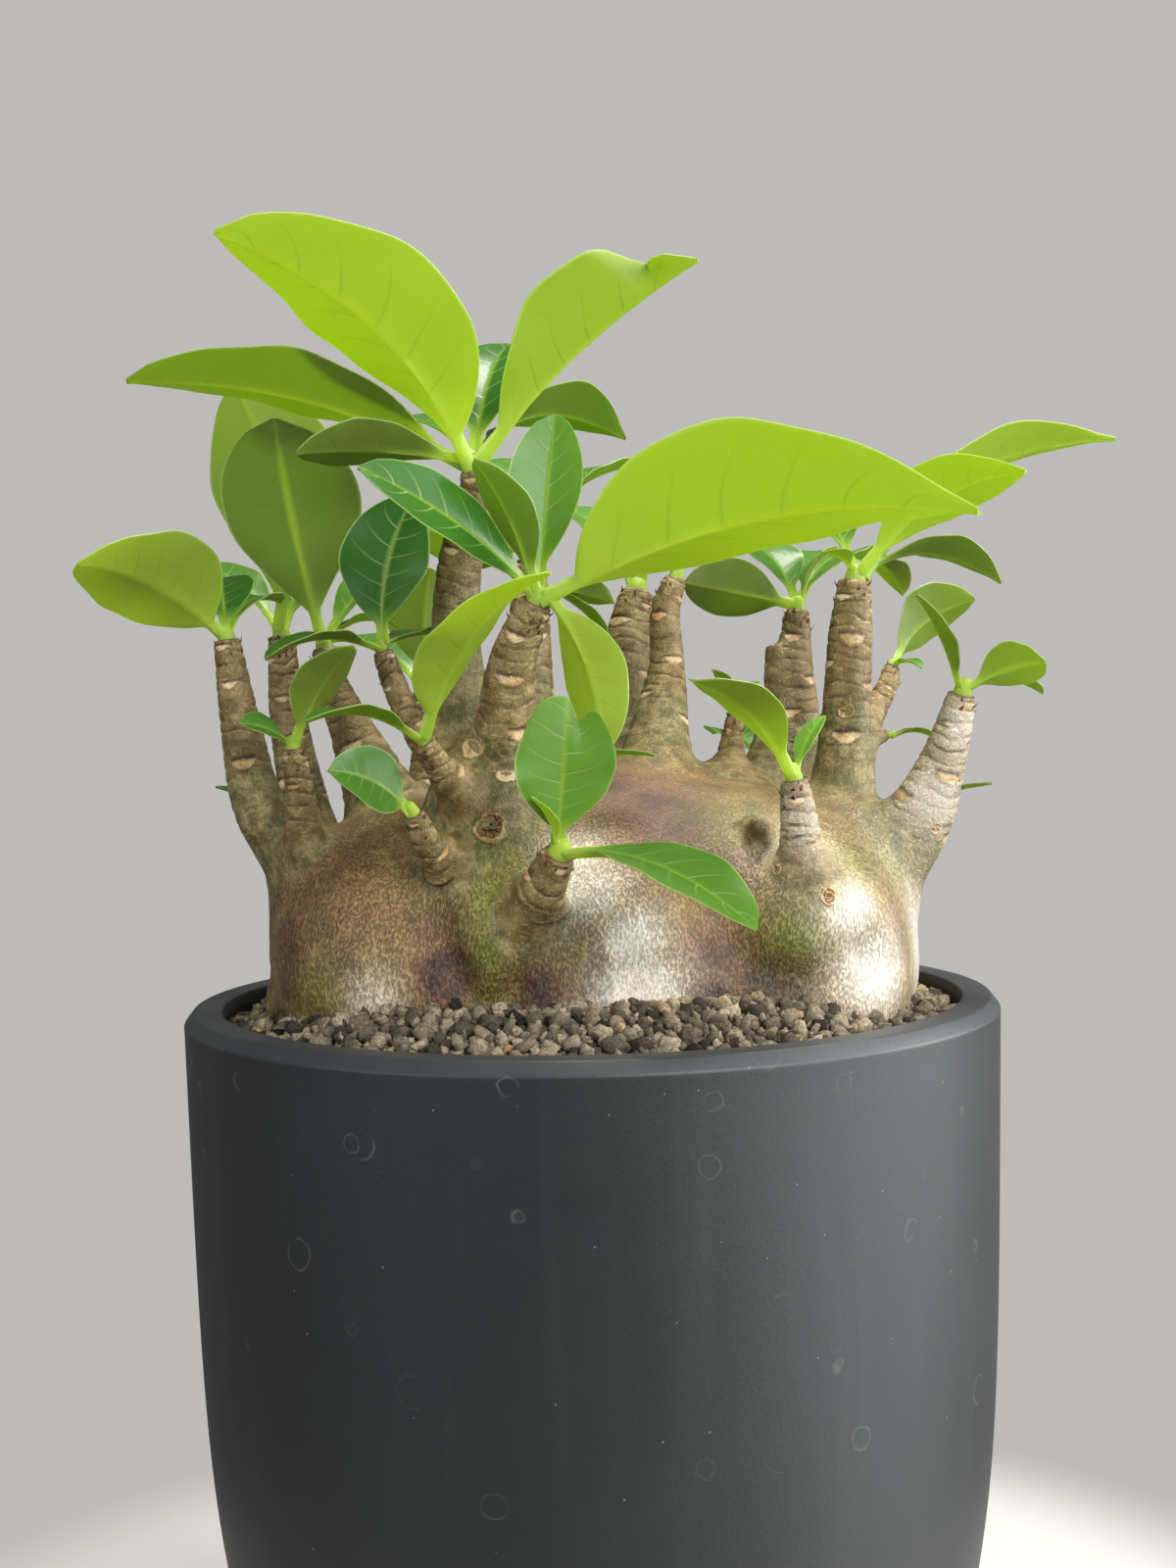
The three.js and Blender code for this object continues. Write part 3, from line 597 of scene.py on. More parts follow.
def makeSoilBed(material):
    sides, gap = soilSizes["sides"], soilSizes["gap"]
    wallTop = potSizes["height"] - soilSizes["drop"]
    heights = np.linspace(potSizes["floor"] + gap, wallTop, 24)
    rings = [circlePoints(innerRadius(z) - gap, z, sides) for z in heights]
    for radius in np.linspace(innerRadius(wallTop) - gap, 0, 60)[1:-1]:
        x, y, _ = circlePoints(radius, 0, sides).T
        level = soilLevel(x, y)
        level = level + soilSizes["lumps"] * softNoise(np.stack([x, y, level], 1), soilSizes["lumpSize"])
        rings.append(np.stack([x, y, np.minimum(level, undersideLevel(x, y) - gap)], 1))
    centre = float(undersideLevel(np.array(0.0), np.array(0.0))) - gap
    bed = makePiece("soil_bed", *shellOf((0, 0, heights[0]), rings, (0, 0, centre)), material)
    # The bed shows only in the gaps between the grains, and its low tone makes it dark brown: painted shade
    # of those gaps
    storeValues(bed.data, "tone", np.full(len(bed.data.vertices), 0.1))
    settle(bed, "soil", "soil")


# Layers of grains: spacing and radius in millimetres, how far they stand out of the bed, and a seed
grainLayers = [
    {"name": "soil_grains_fine", "spacing": 1.2, "radius": 0.72, "lift": 0.3, "seed": 3},
    {"name": "soil_grains_middle", "spacing": 1.95, "radius": 1.12, "lift": 0.8, "seed": 8},
    {"name": "soil_grains_coarse", "spacing": 3.7, "radius": 1.75, "lift": 1.1, "seed": 21},
]
# How a grain is shaped from a cube: its rounding, how far noise pushes it, and its smallest and largest sides
# as shares of the layer's radius. Then where the sheet for the grains starts, ends and is left out.
grainShape = {
    "kinds": 4, "cube": 1.5, "rounding": 0.62, "push": 1.9, "smallest": (0.62, 0.62, 0.5),
    "largest": (1.25, 1.2, 1.05), "sheetFrom": 20, "fromWall": 0.4, "underCaudex": 1.2,
}


# The soil's top between the caudex and the wall, as a sheet for the grains to lie on
def grainField(layer):
    sides = soilSizes["sides"]
    wallInner = innerRadius(potSizes["height"])
    radii = np.arange(grainShape["sheetFrom"], wallInner - (layer["radius"] + grainShape["fromWall"]), 1.0)
    points = np.concatenate([circlePoints(radius, 0, sides) for radius in radii])
    x, y, _ = points.T
    level = soilLevel(x, y)
    covered = undersideLevel(x, y) < level - grainShape["underCaudex"]
    points[:, 2] = level + layer["lift"]
    faces = [(a, d, c, b) for a, b, c, d in ringFaces(len(radii), sides) if not (covered[a] or covered[d])]
    return meshOf("grain field", points, faces)


# Sub-angular grains of a few kinds, turned and sized at random
def grainCopies(add, given):
    kinds = []
    for kind in range(grainShape["kinds"]):
        block = add("GeometryNodeMeshCube", [(grainShape["cube"],) * 3, 3, 3, 3])
        place = add("GeometryNodeInputPosition")
        ball = add("VectorMath", [place], operation="NORMALIZE")
        rounded = add("Mix", [grainShape["rounding"], place, ball], data_type="VECTOR")
        shifted = add("VectorMath", [place, (7.3 * kind, 2.1 * kind, 0)], operation="ADD")
        rough = add("TexNoise", {"Vector": shifted, "Scale": 0.9, "Detail": 1}).outputs["Color"]
        centred = add("VectorMath", [rough, (0.5, 0.5, 0.5)], operation="SUBTRACT")
        pushed = add("VectorMath", [centred, (grainShape["push"],) * 3, rounded], operation="MULTIPLY_ADD")
        kinds.append(add("GeometryNodeSetPosition", {"Geometry": block, "Position": pushed}))
    seed = given["Seed"]
    spots = add("GeometryNodeDistributePointsOnFaces", {
        "Mesh": given["Sheet"], "Distance Min": given["Spacing"], "Density Max": 1500000, "Seed": seed,
    }, distribute_method="POISSON")
    last = grainShape["kinds"] - 1
    which = add("FunctionNodeRandomValue", {"Min": 0, "Max": last, "Seed": seed}, data_type="INT")
    turn = add("FunctionNodeRandomValue", {
        "Min": (0, 0, 0), "Max": (6.283, 6.283, 6.283), "Seed": seed,
    }, data_type="FLOAT_VECTOR")
    spread = add("FunctionNodeRandomValue", {
        "Min": grainShape["smallest"], "Max": grainShape["largest"], "Seed": seed,
    }, data_type="FLOAT_VECTOR")
    return add("GeometryNodeInstanceOnPoints", {
        "Points": spots, "Instance": add("GeometryNodeGeometryToInstance", [kinds]), "Pick Instance": True,
        "Instance Index": which, "Rotation": turn,
        "Scale": add("VectorMath", [spread, given["Radius"]], operation="SCALE"),
    })


def makeGrains(material):
    tree = scatterTree("scattered grains", ["Spacing", "Radius"], material, grainCopies)
    for layer in grainLayers:
        grains = scatterOver(layer["name"], grainField(layer), tree, Spacing=layer["spacing"] * mm,
                             Radius=layer["radius"] * mm, Seed=layer["seed"])
        shadeSmooth(grains.data)
        settle(grains, "soil", "soil")
        print(" ", layer["name"], len(grains.data.polygons), "faces")


gritFinish = newMaterial("baked clay grit", clayGrit)
makeSoilBed(gritFinish)
makeGrains(gritFinish)

# Caudex, in millimetres: a distance field of all lobes and branches with soft joins, then a skin over it
print("caudex")
barkSizes = {
    "step": 0.75, "lobeBlend": 9, "frontBlend": 5.4, "ridgeBlend": 3.5, "branchBlend": 5.5, "twigBlend": 2.2,
    "twigUnder": 6.5, "margin": 4, "faces": 190000, "ringDepth": 0.12, "ringSpacing": 2.4, "ringWidth": 0.13,
    "lumps": 0.4, "fineLumps": 0.08, "lobesFrom": (-62, -44, 108), "lobesTo": (64, 46, 182),
}


# Points and radii along a smooth curve through a branch's points
def smoothPath(nodes, perSpan=6):
    data = np.array(nodes, float)
    spots = data[:, :3]
    padded = np.vstack([2 * spots[0] - spots[1], spots, 2 * spots[-1] - spots[-2]])
    path = []
    for i in range(len(spots) - 1):
        p0, p1, p2, p3 = padded[i:i + 4]
        d0, d1, d2 = (np.sqrt(np.linalg.norm(b - a)) for a, b in ((p0, p1), (p1, p2), (p2, p3)))
        leave = ((p1 - p0) / d0 - (p2 - p0) / (d0 + d1) + (p2 - p1) / d1) * d1
        arrive = ((p2 - p1) / d1 - (p3 - p1) / (d1 + d2) + (p3 - p2) / d2) * d1
        for u in np.arange(perSpan) / perSpan:
            place = (p1 + leave * u + (3 * (p2 - p1) - 2 * leave - arrive) * u ** 2
                     + (2 * (p1 - p2) + leave + arrive) * u ** 3)
            path.append((*place, data[i, 3] + (data[i + 1, 3] - data[i, 3]) * u))
    path.append(tuple(data[-1]))
    return np.array(path)


# Distance of each point of a path from its end
def fromEnd(path):
    spans = np.linalg.norm(np.diff(path[:, :3], axis=0), axis=1)
    return np.concatenate([np.cumsum(spans[::-1])[::-1], [0]])


paths = {name: smoothPath(nodes) for name, nodes in branches.items()}


# Distance to the surface of the lobes and branches at the points of a grid, negative inside
class BarkField:
    def __init__(self):
        low = np.min([p[:, :3].min(0) for p in paths.values()], 0) - 10
        high = np.max([p[:, :3].max(0) for p in paths.values()], 0) + 8
        high = np.maximum(high, barkSizes["lobesTo"])
        self.low = np.minimum(low, barkSizes["lobesFrom"])
        self.step = barkSizes["step"]
        counts = np.ceil((high - self.low) / self.step).astype(int) + 1
        self.axes = [self.low[i] + self.step * np.arange(counts[i]) for i in range(3)]
        self.values = np.full(counts, 12.0, np.float32)

    # The part of the grid around a box, with its coordinates along each axis
    def window(self, low, high):
        first = np.maximum(np.floor((np.array(low) - self.low) / self.step).astype(int), 0)
        last = np.minimum(np.ceil((np.array(high) - self.low) / self.step).astype(int) + 1, self.values.shape)
        span = tuple(slice(a, b) for a, b in zip(first, last))
        x, y, z = (self.axes[i][span[i]].astype(np.float32) for i in range(3))
        return span, x[:, None, None], y[None, :, None], z[None, None, :]

    # A shape joined to what is there, its seam filled softly over the blend's width
    def join(self, span, shape, blend):
        old = self.values[span]
        share = np.clip(0.5 + 0.5 * (old - shape) / blend, 0, 1)
        self.values[span] = old + (shape - old) * share - blend * share * (1 - share)

    def addLobe(self, lobe, blend):
        centre, radii = np.array(lobe[:3]), np.array(lobe[3:])
        reach = radii + blend + barkSizes["margin"]
        span, x, y, z = self.window(centre - reach, centre + reach)
        cx, cy, cz, rx, ry, rz = lobe
        x, y, z = x - cx, y - cy, z - cz
        near = np.sqrt((x / rx) ** 2 + (y / ry) ** 2 + (z / rz) ** 2)
        slope = np.sqrt((x / rx ** 2) ** 2 + (y / ry ** 2) ** 2 + (z / rz ** 2) ** 2)
        self.join(span, near * (near - 1) / np.maximum(slope, 1e-4), blend)

    def addBranch(self, path, blend):
        reach = path[:, 3].max() + blend + barkSizes["margin"]
        span, x, y, z = self.window(path[:, :3].min(0) - reach, path[:, :3].max(0) + reach)
        nearest = np.full(self.values[span].shape, 50.0, np.float32)
        end, way = path[-1, :3], unit(path[-1, :3] - path[-2, :3])
        for k in range(len(path) - 1):
            a, b = path[k], path[k + 1]
            along = b[:3] - a[:3]
            px, py, pz = x - a[0], y - a[1], z - a[2]
            share = np.clip((px * along[0] + py * along[1] + pz * along[2]) / along.dot(along), 0, 1)
            px, py, pz = px - share * along[0], py - share * along[1], pz - share * along[2]
            gap = np.sqrt(px ** 2 + py ** 2 + pz ** 2)
            gap -= a[3] + (b[3] - a[3]) * share
            # The last spans are cut off flat at the branch's end
            if k >= len(path) - 9:
                past = (x - end[0]) * way[0] + (y - end[1]) * way[1] + (z - end[2]) * way[2]
                gap = np.maximum(gap, past - 0.2)
            nearest = np.minimum(nearest, gap)
        self.join(span, nearest, blend)

    def at(self, points):
        spots = np.clip((points - self.low) / self.step, 0, np.array(self.values.shape) - 1.001)
        cell = np.floor(spots).astype(int)
        x, y, z = cell.T
        return blendCorners(spots - cell, lambda i, j, k: self.values[x + i, y + j, z + k])

    # The outward direction at each point
    def slopeAt(self, points):
        slope = np.zeros((len(points), 3))
        for i in range(3):
            shift = np.zeros(3)
            shift[i] = self.step
            slope[:, i] = (self.at(points + shift) - self.at(points - shift)) / (2 * self.step)
        return slope / np.maximum(np.linalg.norm(slope, axis=1, keepdims=True), 1e-6)

    # The points moved onto the surface
    def settleOn(self, points, rounds=3):
        for _ in range(rounds):
            points = points - self.slopeAt(points) * self.at(points)[:, None]
        return points


# A skin of squares where the field changes sign, with one point in each cell that it crosses
def skinOf(field):
    inside = field.values < 0
    cellShape = tuple(n - 1 for n in inside.shape)
    filled = np.zeros(cellShape, np.int8)
    for i, j, k in corners:
        filled += inside[i:i + cellShape[0], j:j + cellShape[1], k:k + cellShape[2]]
    cells = np.argwhere((filled > 0) & (filled < 8))
    number = np.full(cellShape, -1, np.int32)
    number[tuple(cells.T)] = np.arange(len(cells))
    total = np.zeros((len(cells), 3))
    hits = np.zeros(len(cells))
    for a in corners:
        for axis in range(3):
            if a[axis] == 1:
                continue
            b = tuple(1 if i == axis else a[i] for i in range(3))
            fa = field.values[tuple((cells + a).T)]
            fb = field.values[tuple((cells + b).T)]
            crossed = (fa < 0) != (fb < 0)
            share = np.where(crossed, fa / np.where(crossed, fa - fb, 1), 0)
            place = np.array(a) + share[:, None] * (np.array(b) - np.array(a))
            total += np.where(crossed[:, None], place, 0)
            hits += crossed
    points = (cells + total / hits[:, None]) * field.step + field.low
    faces = []
    for axis in range(3):
        u, w = (axis + 1) % 3, (axis + 2) % 3
        lower = [slice(None)] * 3
        upper = [slice(None)] * 3
        lower[axis], upper[axis] = slice(0, -1), slice(1, None)
        starts = inside[tuple(lower)]
        edges = np.argwhere(starts != inside[tuple(upper)])
        edges = edges[(edges[:, u] > 0) & (edges[:, w] > 0)]
        edges = edges[(edges[:, u] < cellShape[u]) & (edges[:, w] < cellShape[w])]
        outward = starts[tuple(edges.T)]
        stepU, stepW = np.eye(3, dtype=int)[u], np.eye(3, dtype=int)[w]
        square = [number[tuple(c.T)] for c in (edges - stepU - stepW, edges - stepW, edges, edges - stepU)]
        square = np.stack(square, 1)
        square[~outward] = square[~outward][:, ::-1]
        faces.append(square)
    return points, np.concatenate(faces)


# Finer forms of the caudex's front: lobes, and ridges down to the soil below the trunk and at the left
frontLobes = [(-36, -14, 145, 19, 21, 22), (37, -20, 151, 14, 17, 13), (4, -16, 142, 17, 23.5, 24)]
ridges = [
    [(-18, -20, 166, 12), (-18, -26, 156, 11.5), (-18.5, -31.5, 146, 8), (-18, -33, 135, 5.5)],
    [(-54, -9, 138, 5.5), (-46, -21, 134.5, 5), (-37, -26, 132, 4)],
]
barkField = BarkField()
for lobe in lobes:
    barkField.addLobe(lobe, barkSizes["lobeBlend"])
for lobe in frontLobes:
    barkField.addLobe(lobe, barkSizes["frontBlend"])
for ridge in ridges:
    barkField.addBranch(smoothPath(ridge), barkSizes["ridgeBlend"])
for path in sorted(paths.values(), key=lambda path: -path[0, 3]):
    thick = path[0, 3] > barkSizes["twigUnder"]
    barkField.addBranch(path, barkSizes["branchBlend" if thick else "twigBlend"])
print("  field", barkField.values.shape)


# Which branch each point lies on: how near its surface, how far from its tip, its radius and its number
def placesOnBranches(points):
    gap = np.full(len(points), 50.0)
    fromTip = np.full(len(points), 200.0)
    radius = np.zeros(len(points))
    number = np.zeros(len(points))
    for index, path in enumerate(paths.values()):
        distance = fromEnd(path)
        reach = path[:, 3].max() + 4
        near = np.all((points > path[:, :3].min(0) - reach) & (points < path[:, :3].max(0) + reach), axis=1)
        chosen = np.nonzero(near)[0]
        spots = points[chosen]
        for k in range(len(path) - 1):
            a, b = path[k], path[k + 1]
            along = b[:3] - a[:3]
            share = np.clip((spots - a[:3]) @ along / along.dot(along), 0, 1)
            thick = a[3] + (b[3] - a[3]) * share
            away = np.linalg.norm(spots - a[:3] - share[:, None] * along, axis=1) - thick
            nearer = away < gap[chosen]
            hit = chosen[nearer]
            gap[hit] = away[nearer]
            fromTip[hit] = (distance[k] + (distance[k + 1] - distance[k]) * share)[nearer]
            radius[hit] = thick[nearer]
            number[hit] = index
    return gap, fromTip, radius, number


# Patches of colour on the caudex in millimetres: centre, radius and strength. The red ones are partly the
# bark's own red-brown and partly painted shade, on the dome's top and in the valleys near the soil; the cream
# ones are partly pale bark and partly a painted silvery highlight, as on the crest and the arm.
patches = {
    "red": [
        ((-47, -22, 166), 16, 0.55), ((-40, -31, 158), 12, 0.5), ((-52, -24, 150), 9, 0.75),
        ((14, -23, 172), 16, 0.95), ((3, -14, 178), 16, 0.8), ((24, -29, 164), 9, 0.8),
        ((-24, -39, 147), 7, 1.3), ((-27, -38, 154), 6, 0.8), ((-9, -42, 144), 6.5, 1.1),
        ((21, -37, 149), 9, 0.8), ((31, -38.5, 143), 9, 1.3), ((20, -38.5, 141), 7, 1.1),
        ((55, -26, 152), 7, 0.4), ((30, 34, 150), 14, 0.7), ((-34, 32, 152), 14, 0.6),
        ((0, 38, 158), 10, 0.6),
    ],
    "green": [
        ((-15, -42, 159), 8, 1.0), ((-17, -42, 151), 5, 1.0), ((-17, -42, 142), 4.5, 0.8),
        ((35, -39, 152), 7, 1.0), ((57, -14, 165), 8, 0.8), ((47, -28, 166), 6, 0.6),
        ((-47, -30, 144), 7, 0.4), ((-7, -43, 157), 7, 0.9), ((-16, -34, 167), 10, 0.7),
        ((27, -24, 174), 9, 0.5), ((38, 22, 170), 14, 0.5), ((-25, 30, 168), 14, 0.5),
    ],
    "cream": [
        ((8, -40, 142), 7, 1.4), ((7, -39, 152), 5, 1.0), ((0, -37, 160), 6, 0.7), ((-2, -33, 165), 6, 0.5),
        ((49, -35, 145), 8, 0.85), ((45, -36, 156), 6, 0.7), ((58, -10, 148), 10, 0.7),
        ((-37, -36, 142), 5, 0.4), ((62, -12, 174), 10, 1.0), ((67, -13, 186), 9, 0.9),
        ((36, -34, 171), 8, 0.9), ((52, 16, 150), 14, 0.6), ((-4, 38, 146), 12, 0.6),
    ],
}


def patchShare(points, colour):
    total = np.zeros(len(points))
    for centre, radius, strength in patches[colour]:
        away = np.linalg.norm(points - np.array(centre), axis=1)
        total = np.maximum(total, strength * bell(away, radius))
    return np.minimum(total, 1)


# Stores what the bark's material reads at each point, and settles the piece
def finishBark(piece, points, **looks):
    # The red and cream tints carry painted shade and a painted highlight as well as the bark's own colours
    tints = [patchShare(points, colour) for colour in patches]
    storeValues(piece.data, "tints", np.stack([*tints, np.ones(len(points))], 1), "FLOAT_COLOR")
    for name, values in looks.items():
        storeValues(piece.data, name, np.broadcast_to(values, len(points)))
    settle(piece, "bark", "caudex")


# Bark of the branch ends, finer than the rest, in millimetres: how far it reaches, where it dips under, its
# rings, its leaf scars, and the rings of its domed end, as a share of the radius and a rise
tipSizes = {
    "reach": 36, "share": 0.85, "sink": 3, "dip": 0.55, "step": 0.26, "around": 64, "spacing": 2.3,
    "growth": 0.02, "groove": 0.2, "bulge": 0.06, "scarEvery": 2.6, "scarTurn": 137.5, "scarWidth": 2.7,
    "least": 6, "twigEnd": 6, "dome": ((0.9, 0.22), (0.7, 0.3), (0.4, 0.1)),
}


# Where a branch is at a distance from its tip: place, radius and direction
def alongBranch(path, fromTip):
    distance = fromEnd(path)
    k = min(int(np.nonzero(distance >= fromTip - 1e-6)[0][-1]), len(path) - 2)
    share = (distance[k] - fromTip) / (distance[k] - distance[k + 1])
    spot = path[k] + share * (path[k + 1] - path[k])
    return spot[:3], spot[3], unit(path[k + 1, :3] - path[k, :3])


# How far from its tip a branch stands free of the wood around it
def freeLength(path):
    fromTip, limit = 1.0, min(tipSizes["reach"], tipSizes["share"] * fromEnd(path)[0])
    while fromTip < limit:
        centre, radius, way = alongBranch(path, fromTip)
        across = unit(np.cross(way, [0.31, 0.52, 0.2]))
        ring = centre + 1.4 * radius * circleAbout(across, np.cross(way, across), 16)
        if np.mean(barkField.at(ring) < -0.2) > 0.3:
            break
        fromTip += 1.0
    return fromTip


freeLengths = np.array([freeLength(path) for path in paths.values()])
print("  free lengths", np.round(freeLengths).astype(int).tolist())

# Folds of the bark in millimetres: points that each runs through, height and half width. Ridges of stretched
# bark beside the arm, valleys beside the trunk's foot and below the right swelling, and the edge of the pale
# crest.
folds = [
    ([(42.1, -20, 170), (45.5, -21.7, 167.2), (48.6, -24.5, 163.2), (52.7, -20.8, 160.2)], 0.45, 0.6),
    ([(50.6, -7, 173.5), (52.3, -12, 169), (53.7, -15, 164.6), (54.5, -15.5, 162.9)], 0.45, 0.6),
    ([(60.3, -12.7, 177), (61.5, -13.7, 175.2), (63, -14, 174.8)], 0.4, 0.5),
    ([(-30, -36, 166), (-28, -39, 158), (-25, -40, 150), (-20, -40.5, 142)], -3.2, 4.2),
    ([(-4, -42.5, 154), (-8.5, -41.5, 148), (-13, -41, 142)], -2.4, 4.0),
    ([(21, -36, 160), (24, -38, 150), (36, -38, 144), (46, -35, 148)], -2.6, 5.0),
    ([(-54, -17, 141), (-50, -24, 139.5), (-45, -29, 138.5)], -0.8, 1.2),
    ([(0, -41, 158), (2.5, -41.5, 150), (3, -41, 139)], 1.0, 2.0),
]

# Scars in millimetres: the place as seen from the front, half width and half height, height of the rim, and
# how rough and dark the scar is
scars = [
    (-16.6, 171.2, 2.7, 2.8, 0.55, 1.0), (-19.6, 184.9, 2.6, 1.7, 0.12, 0.0),
    (-13.9, 179.9, 2.0, 1.0, 0.1, 0.0), (40.2, 158.6, 1.3, 1.6, 0.2, 0.8), (48.4, 189.6, 1.3, 1.2, 0.35, 0.7),
    (32.0, 163.0, 0.7, 0.9, 0.1, 0.8), (62.6, 168.2, 1.2, 1.1, 0.2, 0.6),
]


# The first point of the bark met from the front at x and z
def frontPoint(x, z):
    depths = np.arange(-55, 20, 0.25)
    line = np.stack([np.full(len(depths), x), depths, np.full(len(depths), z)], 1)
    return line[np.argmax(barkField.at(line) < 0)]


# Succulent bark: waxy and satin, grey-brown with pale broken threads where it stretched, young wood olive-tan
def succulentBark(add):
    place = add("TexCoord").outputs["Object"]
    red, green, cream = add("SeparateColor", [add("Attribute", attribute_name="tints")]).outputs
    young, rings, cork, wound = (add("Attribute", attribute_name=name).outputs["Fac"]
                                 for name in ("young", "rings", "cork", "wound"))
    clouds = add("TexNoise", {"Vector": place, "Scale": 110, "Detail": 5, "Roughness": 0.6})
    old = add("Mix", [add("MapRange", [clouds, 0.38, 0.64]), "#5a4a2a", "#867143"], data_type="RGBA")
    # Red, green and cream patches spread over the old bark, the red and green ones uneven at their edges. The
    # red is partly painted shade and turns to a near-black maroon of painted shade where it is strongest, in
    # the valleys, near the soil and on the dome; the cream is partly a painted silvery highlight.
    edges = add("MapRange", [clouds, 0.3, 0.7, 0.75, 1.25])
    redAndShadeShare = add("Math", [red, edges], operation="MULTIPLY", use_clamp=True)
    paintedShadeShare = add("MapRange", [redAndShadeShare, 0.55, 1])
    greenShare = add("Math", [green, edges], operation="MULTIPLY", use_clamp=True)
    for share, tint in (
        (redAndShadeShare, "#5e3926"), (paintedShadeShare, "#2c1510"), (greenShare, "#60661f"), (cream, "#ebe0ce"),
    ):
        old = add("Mix", [share, old, tint], data_type="RGBA")
    # Young wood: tan, with the green beneath it showing through in places
    mottles = add("TexNoise", {"Vector": place, "Scale": 330, "Detail": 5, "Roughness": 0.65})
    mottled = add("MapRange", [mottles, 0.4, 0.6])
    wood = add("Mix", [mottled, "#515026", "#92865a"], data_type="RGBA")
    browner = add("Mix", [add("MapRange", [young, 0.93, 1, 0, 0.28]), wood, "#8a5c30"], data_type="RGBA")
    notCream = add("Math", [cream, -0.6, 0.95], operation="MULTIPLY_ADD")
    woodShare = add("Math", [young, notCream], operation="MULTIPLY")
    body = add("Mix", [woodShare, old, browner], data_type="RGBA")
    # Grain of 0.4 mm: pale flecks, which are weaker on young wood
    lengthened = add("Mapping", {"Vector": place, "Scale": (1, 1, 0.5)})
    grain = add("TexNoise", {"Vector": lengthened, "Scale": 2500, "Detail": 3, "Roughness": 0.6})
    lighter = add("VectorMath", [body, (2.1, 2.1, 2.1), (0.06, 0.05, 0.04)], operation="MULTIPLY_ADD")
    pale = add("VectorMath", [lighter, (0.9, 0.86, 0.78)], operation="MINIMUM")
    fleckStrength = add("Math", [young, -0.4, 0.5], operation="MULTIPLY_ADD")
    fleckShare = add("Math", [add("MapRange", [grain, 0.49, 0.6]), fleckStrength], operation="MULTIPLY")
    flecked = add("Mix", [fleckShare, body, pale], data_type="RGBA")
    # Pale threads, mostly upright: broken edges of long cells 1.4 mm wide that a noise bends
    bend = add("TexNoise", {"Vector": place, "Scale": 420, "Detail": 2}).outputs["Color"]
    bent = add("VectorMath", [bend, (0.0014, 0.0014, 0.0014), place], operation="MULTIPLY_ADD")
    upright = add("Mapping", {"Vector": bent, "Scale": (1, 1, 0.24)})
    cells = add("TexVoronoi", {"Vector": upright, "Scale": 700}, feature="DISTANCE_TO_EDGE")
    threadLine = add("MapRange", [cells, 0.02, 0.1, 1, 0], interpolation_type="SMOOTHSTEP")
    breaks = add("TexNoise", {"Vector": upright, "Scale": 900, "Detail": 1})
    threads = add("Math", [threadLine, add("MapRange", [breaks, 0.46, 0.62])], operation="MULTIPLY")
    # Finer and level squiggles on the trunks and branches
    level = add("Mapping", {"Vector": place, "Scale": (0.55, 0.55, 1.3)})
    squiggles = add("TexNoise", {"Vector": level, "Scale": 1150, "Detail": 1.5, "Distortion": 0.5})
    squiggleGap = add("Math", [add("Math", [squiggles, 0.5], operation="SUBTRACT")], operation="ABSOLUTE")
    squiggleLine = add("MapRange", [squiggleGap, 0.005, 0.05, 1, 0], interpolation_type="SMOOTHSTEP")
    lines = add("Mix", [young, threads, squiggleLine], data_type="FLOAT")
    lineStrength = add("Mix", [young, 0.62, 0.35], data_type="FLOAT")
    onCream = add("Math", [cream, 0.35, lineStrength], operation="MULTIPLY_ADD", use_clamp=True)
    lineShare = add("Math", [lines, onCream], operation="MULTIPLY")
    threaded = add("Mix", [lineShare, flecked, pale], data_type="RGBA")
    grainLow = add("Math", [young, 0.2, 0.66], operation="MULTIPLY_ADD")
    grainShade = add("MapRange", [grain, 0.36, 0.6, grainLow, 1.08])
    grained = add("VectorMath", [threaded, grainShade], operation="SCALE")
    # Tan cork on the leaf scars, dark cracks along their edges, and flaky wounds
    corkTone = add("Mix", [mottled, "#c1925a", "#ecd5aa"], data_type="RGBA")
    corked = add("Mix", [cork, grained, corkTone], data_type="RGBA")
    ringed = add("Mix", [rings, corked, "#3a2412"], data_type="RGBA")
    flakes = add("TexVoronoi", {"Vector": place, "Scale": 800}, feature="DISTANCE_TO_EDGE")
    rough = add("Mix", [add("MapRange", [flakes, 0.02, 0.2]), "#1e120a", "#b98046"], data_type="RGBA")
    colour = add("Mix", [wound, ringed, rough], data_type="RGBA")
    relief = add("Math", [lines, 0.5, grain], operation="MULTIPLY_ADD")
    bump = add("Bump", {"Strength": 0.7, "Distance": 0.0003, "Height": relief})
    gloss = add("MapRange", [grain, 0, 1, 0.4, 0.62])
    return add("BsdfPrincipled", {
        "Base Color": colour, "Roughness": gloss, "Specular IOR Level": 0.32, "Normal": bump,
    })


barkFinish = newMaterial("succulent bark", succulentBark)


# Distance of each point to the nearest of a few others, or a great one beyond their reach
def nearestOf(points, others, reach):
    away = np.full(len(points), 100.0)
    near = (points > others.min(0) - reach) & (points < others.max(0) + reach)
    chosen = np.nonzero(np.all(near, axis=1))[0]
    gaps = np.linalg.norm(points[chosen, None] - others[None], axis=2)
    away[chosen] = gaps.min(1)
    return away


# Young wood is that near a branch's tip or of a thin branch
def youngShare(fromTip, radius):
    return np.maximum(smoothStep(48, 20, fromTip), 0.8 * smoothStep(10, 7, radius))


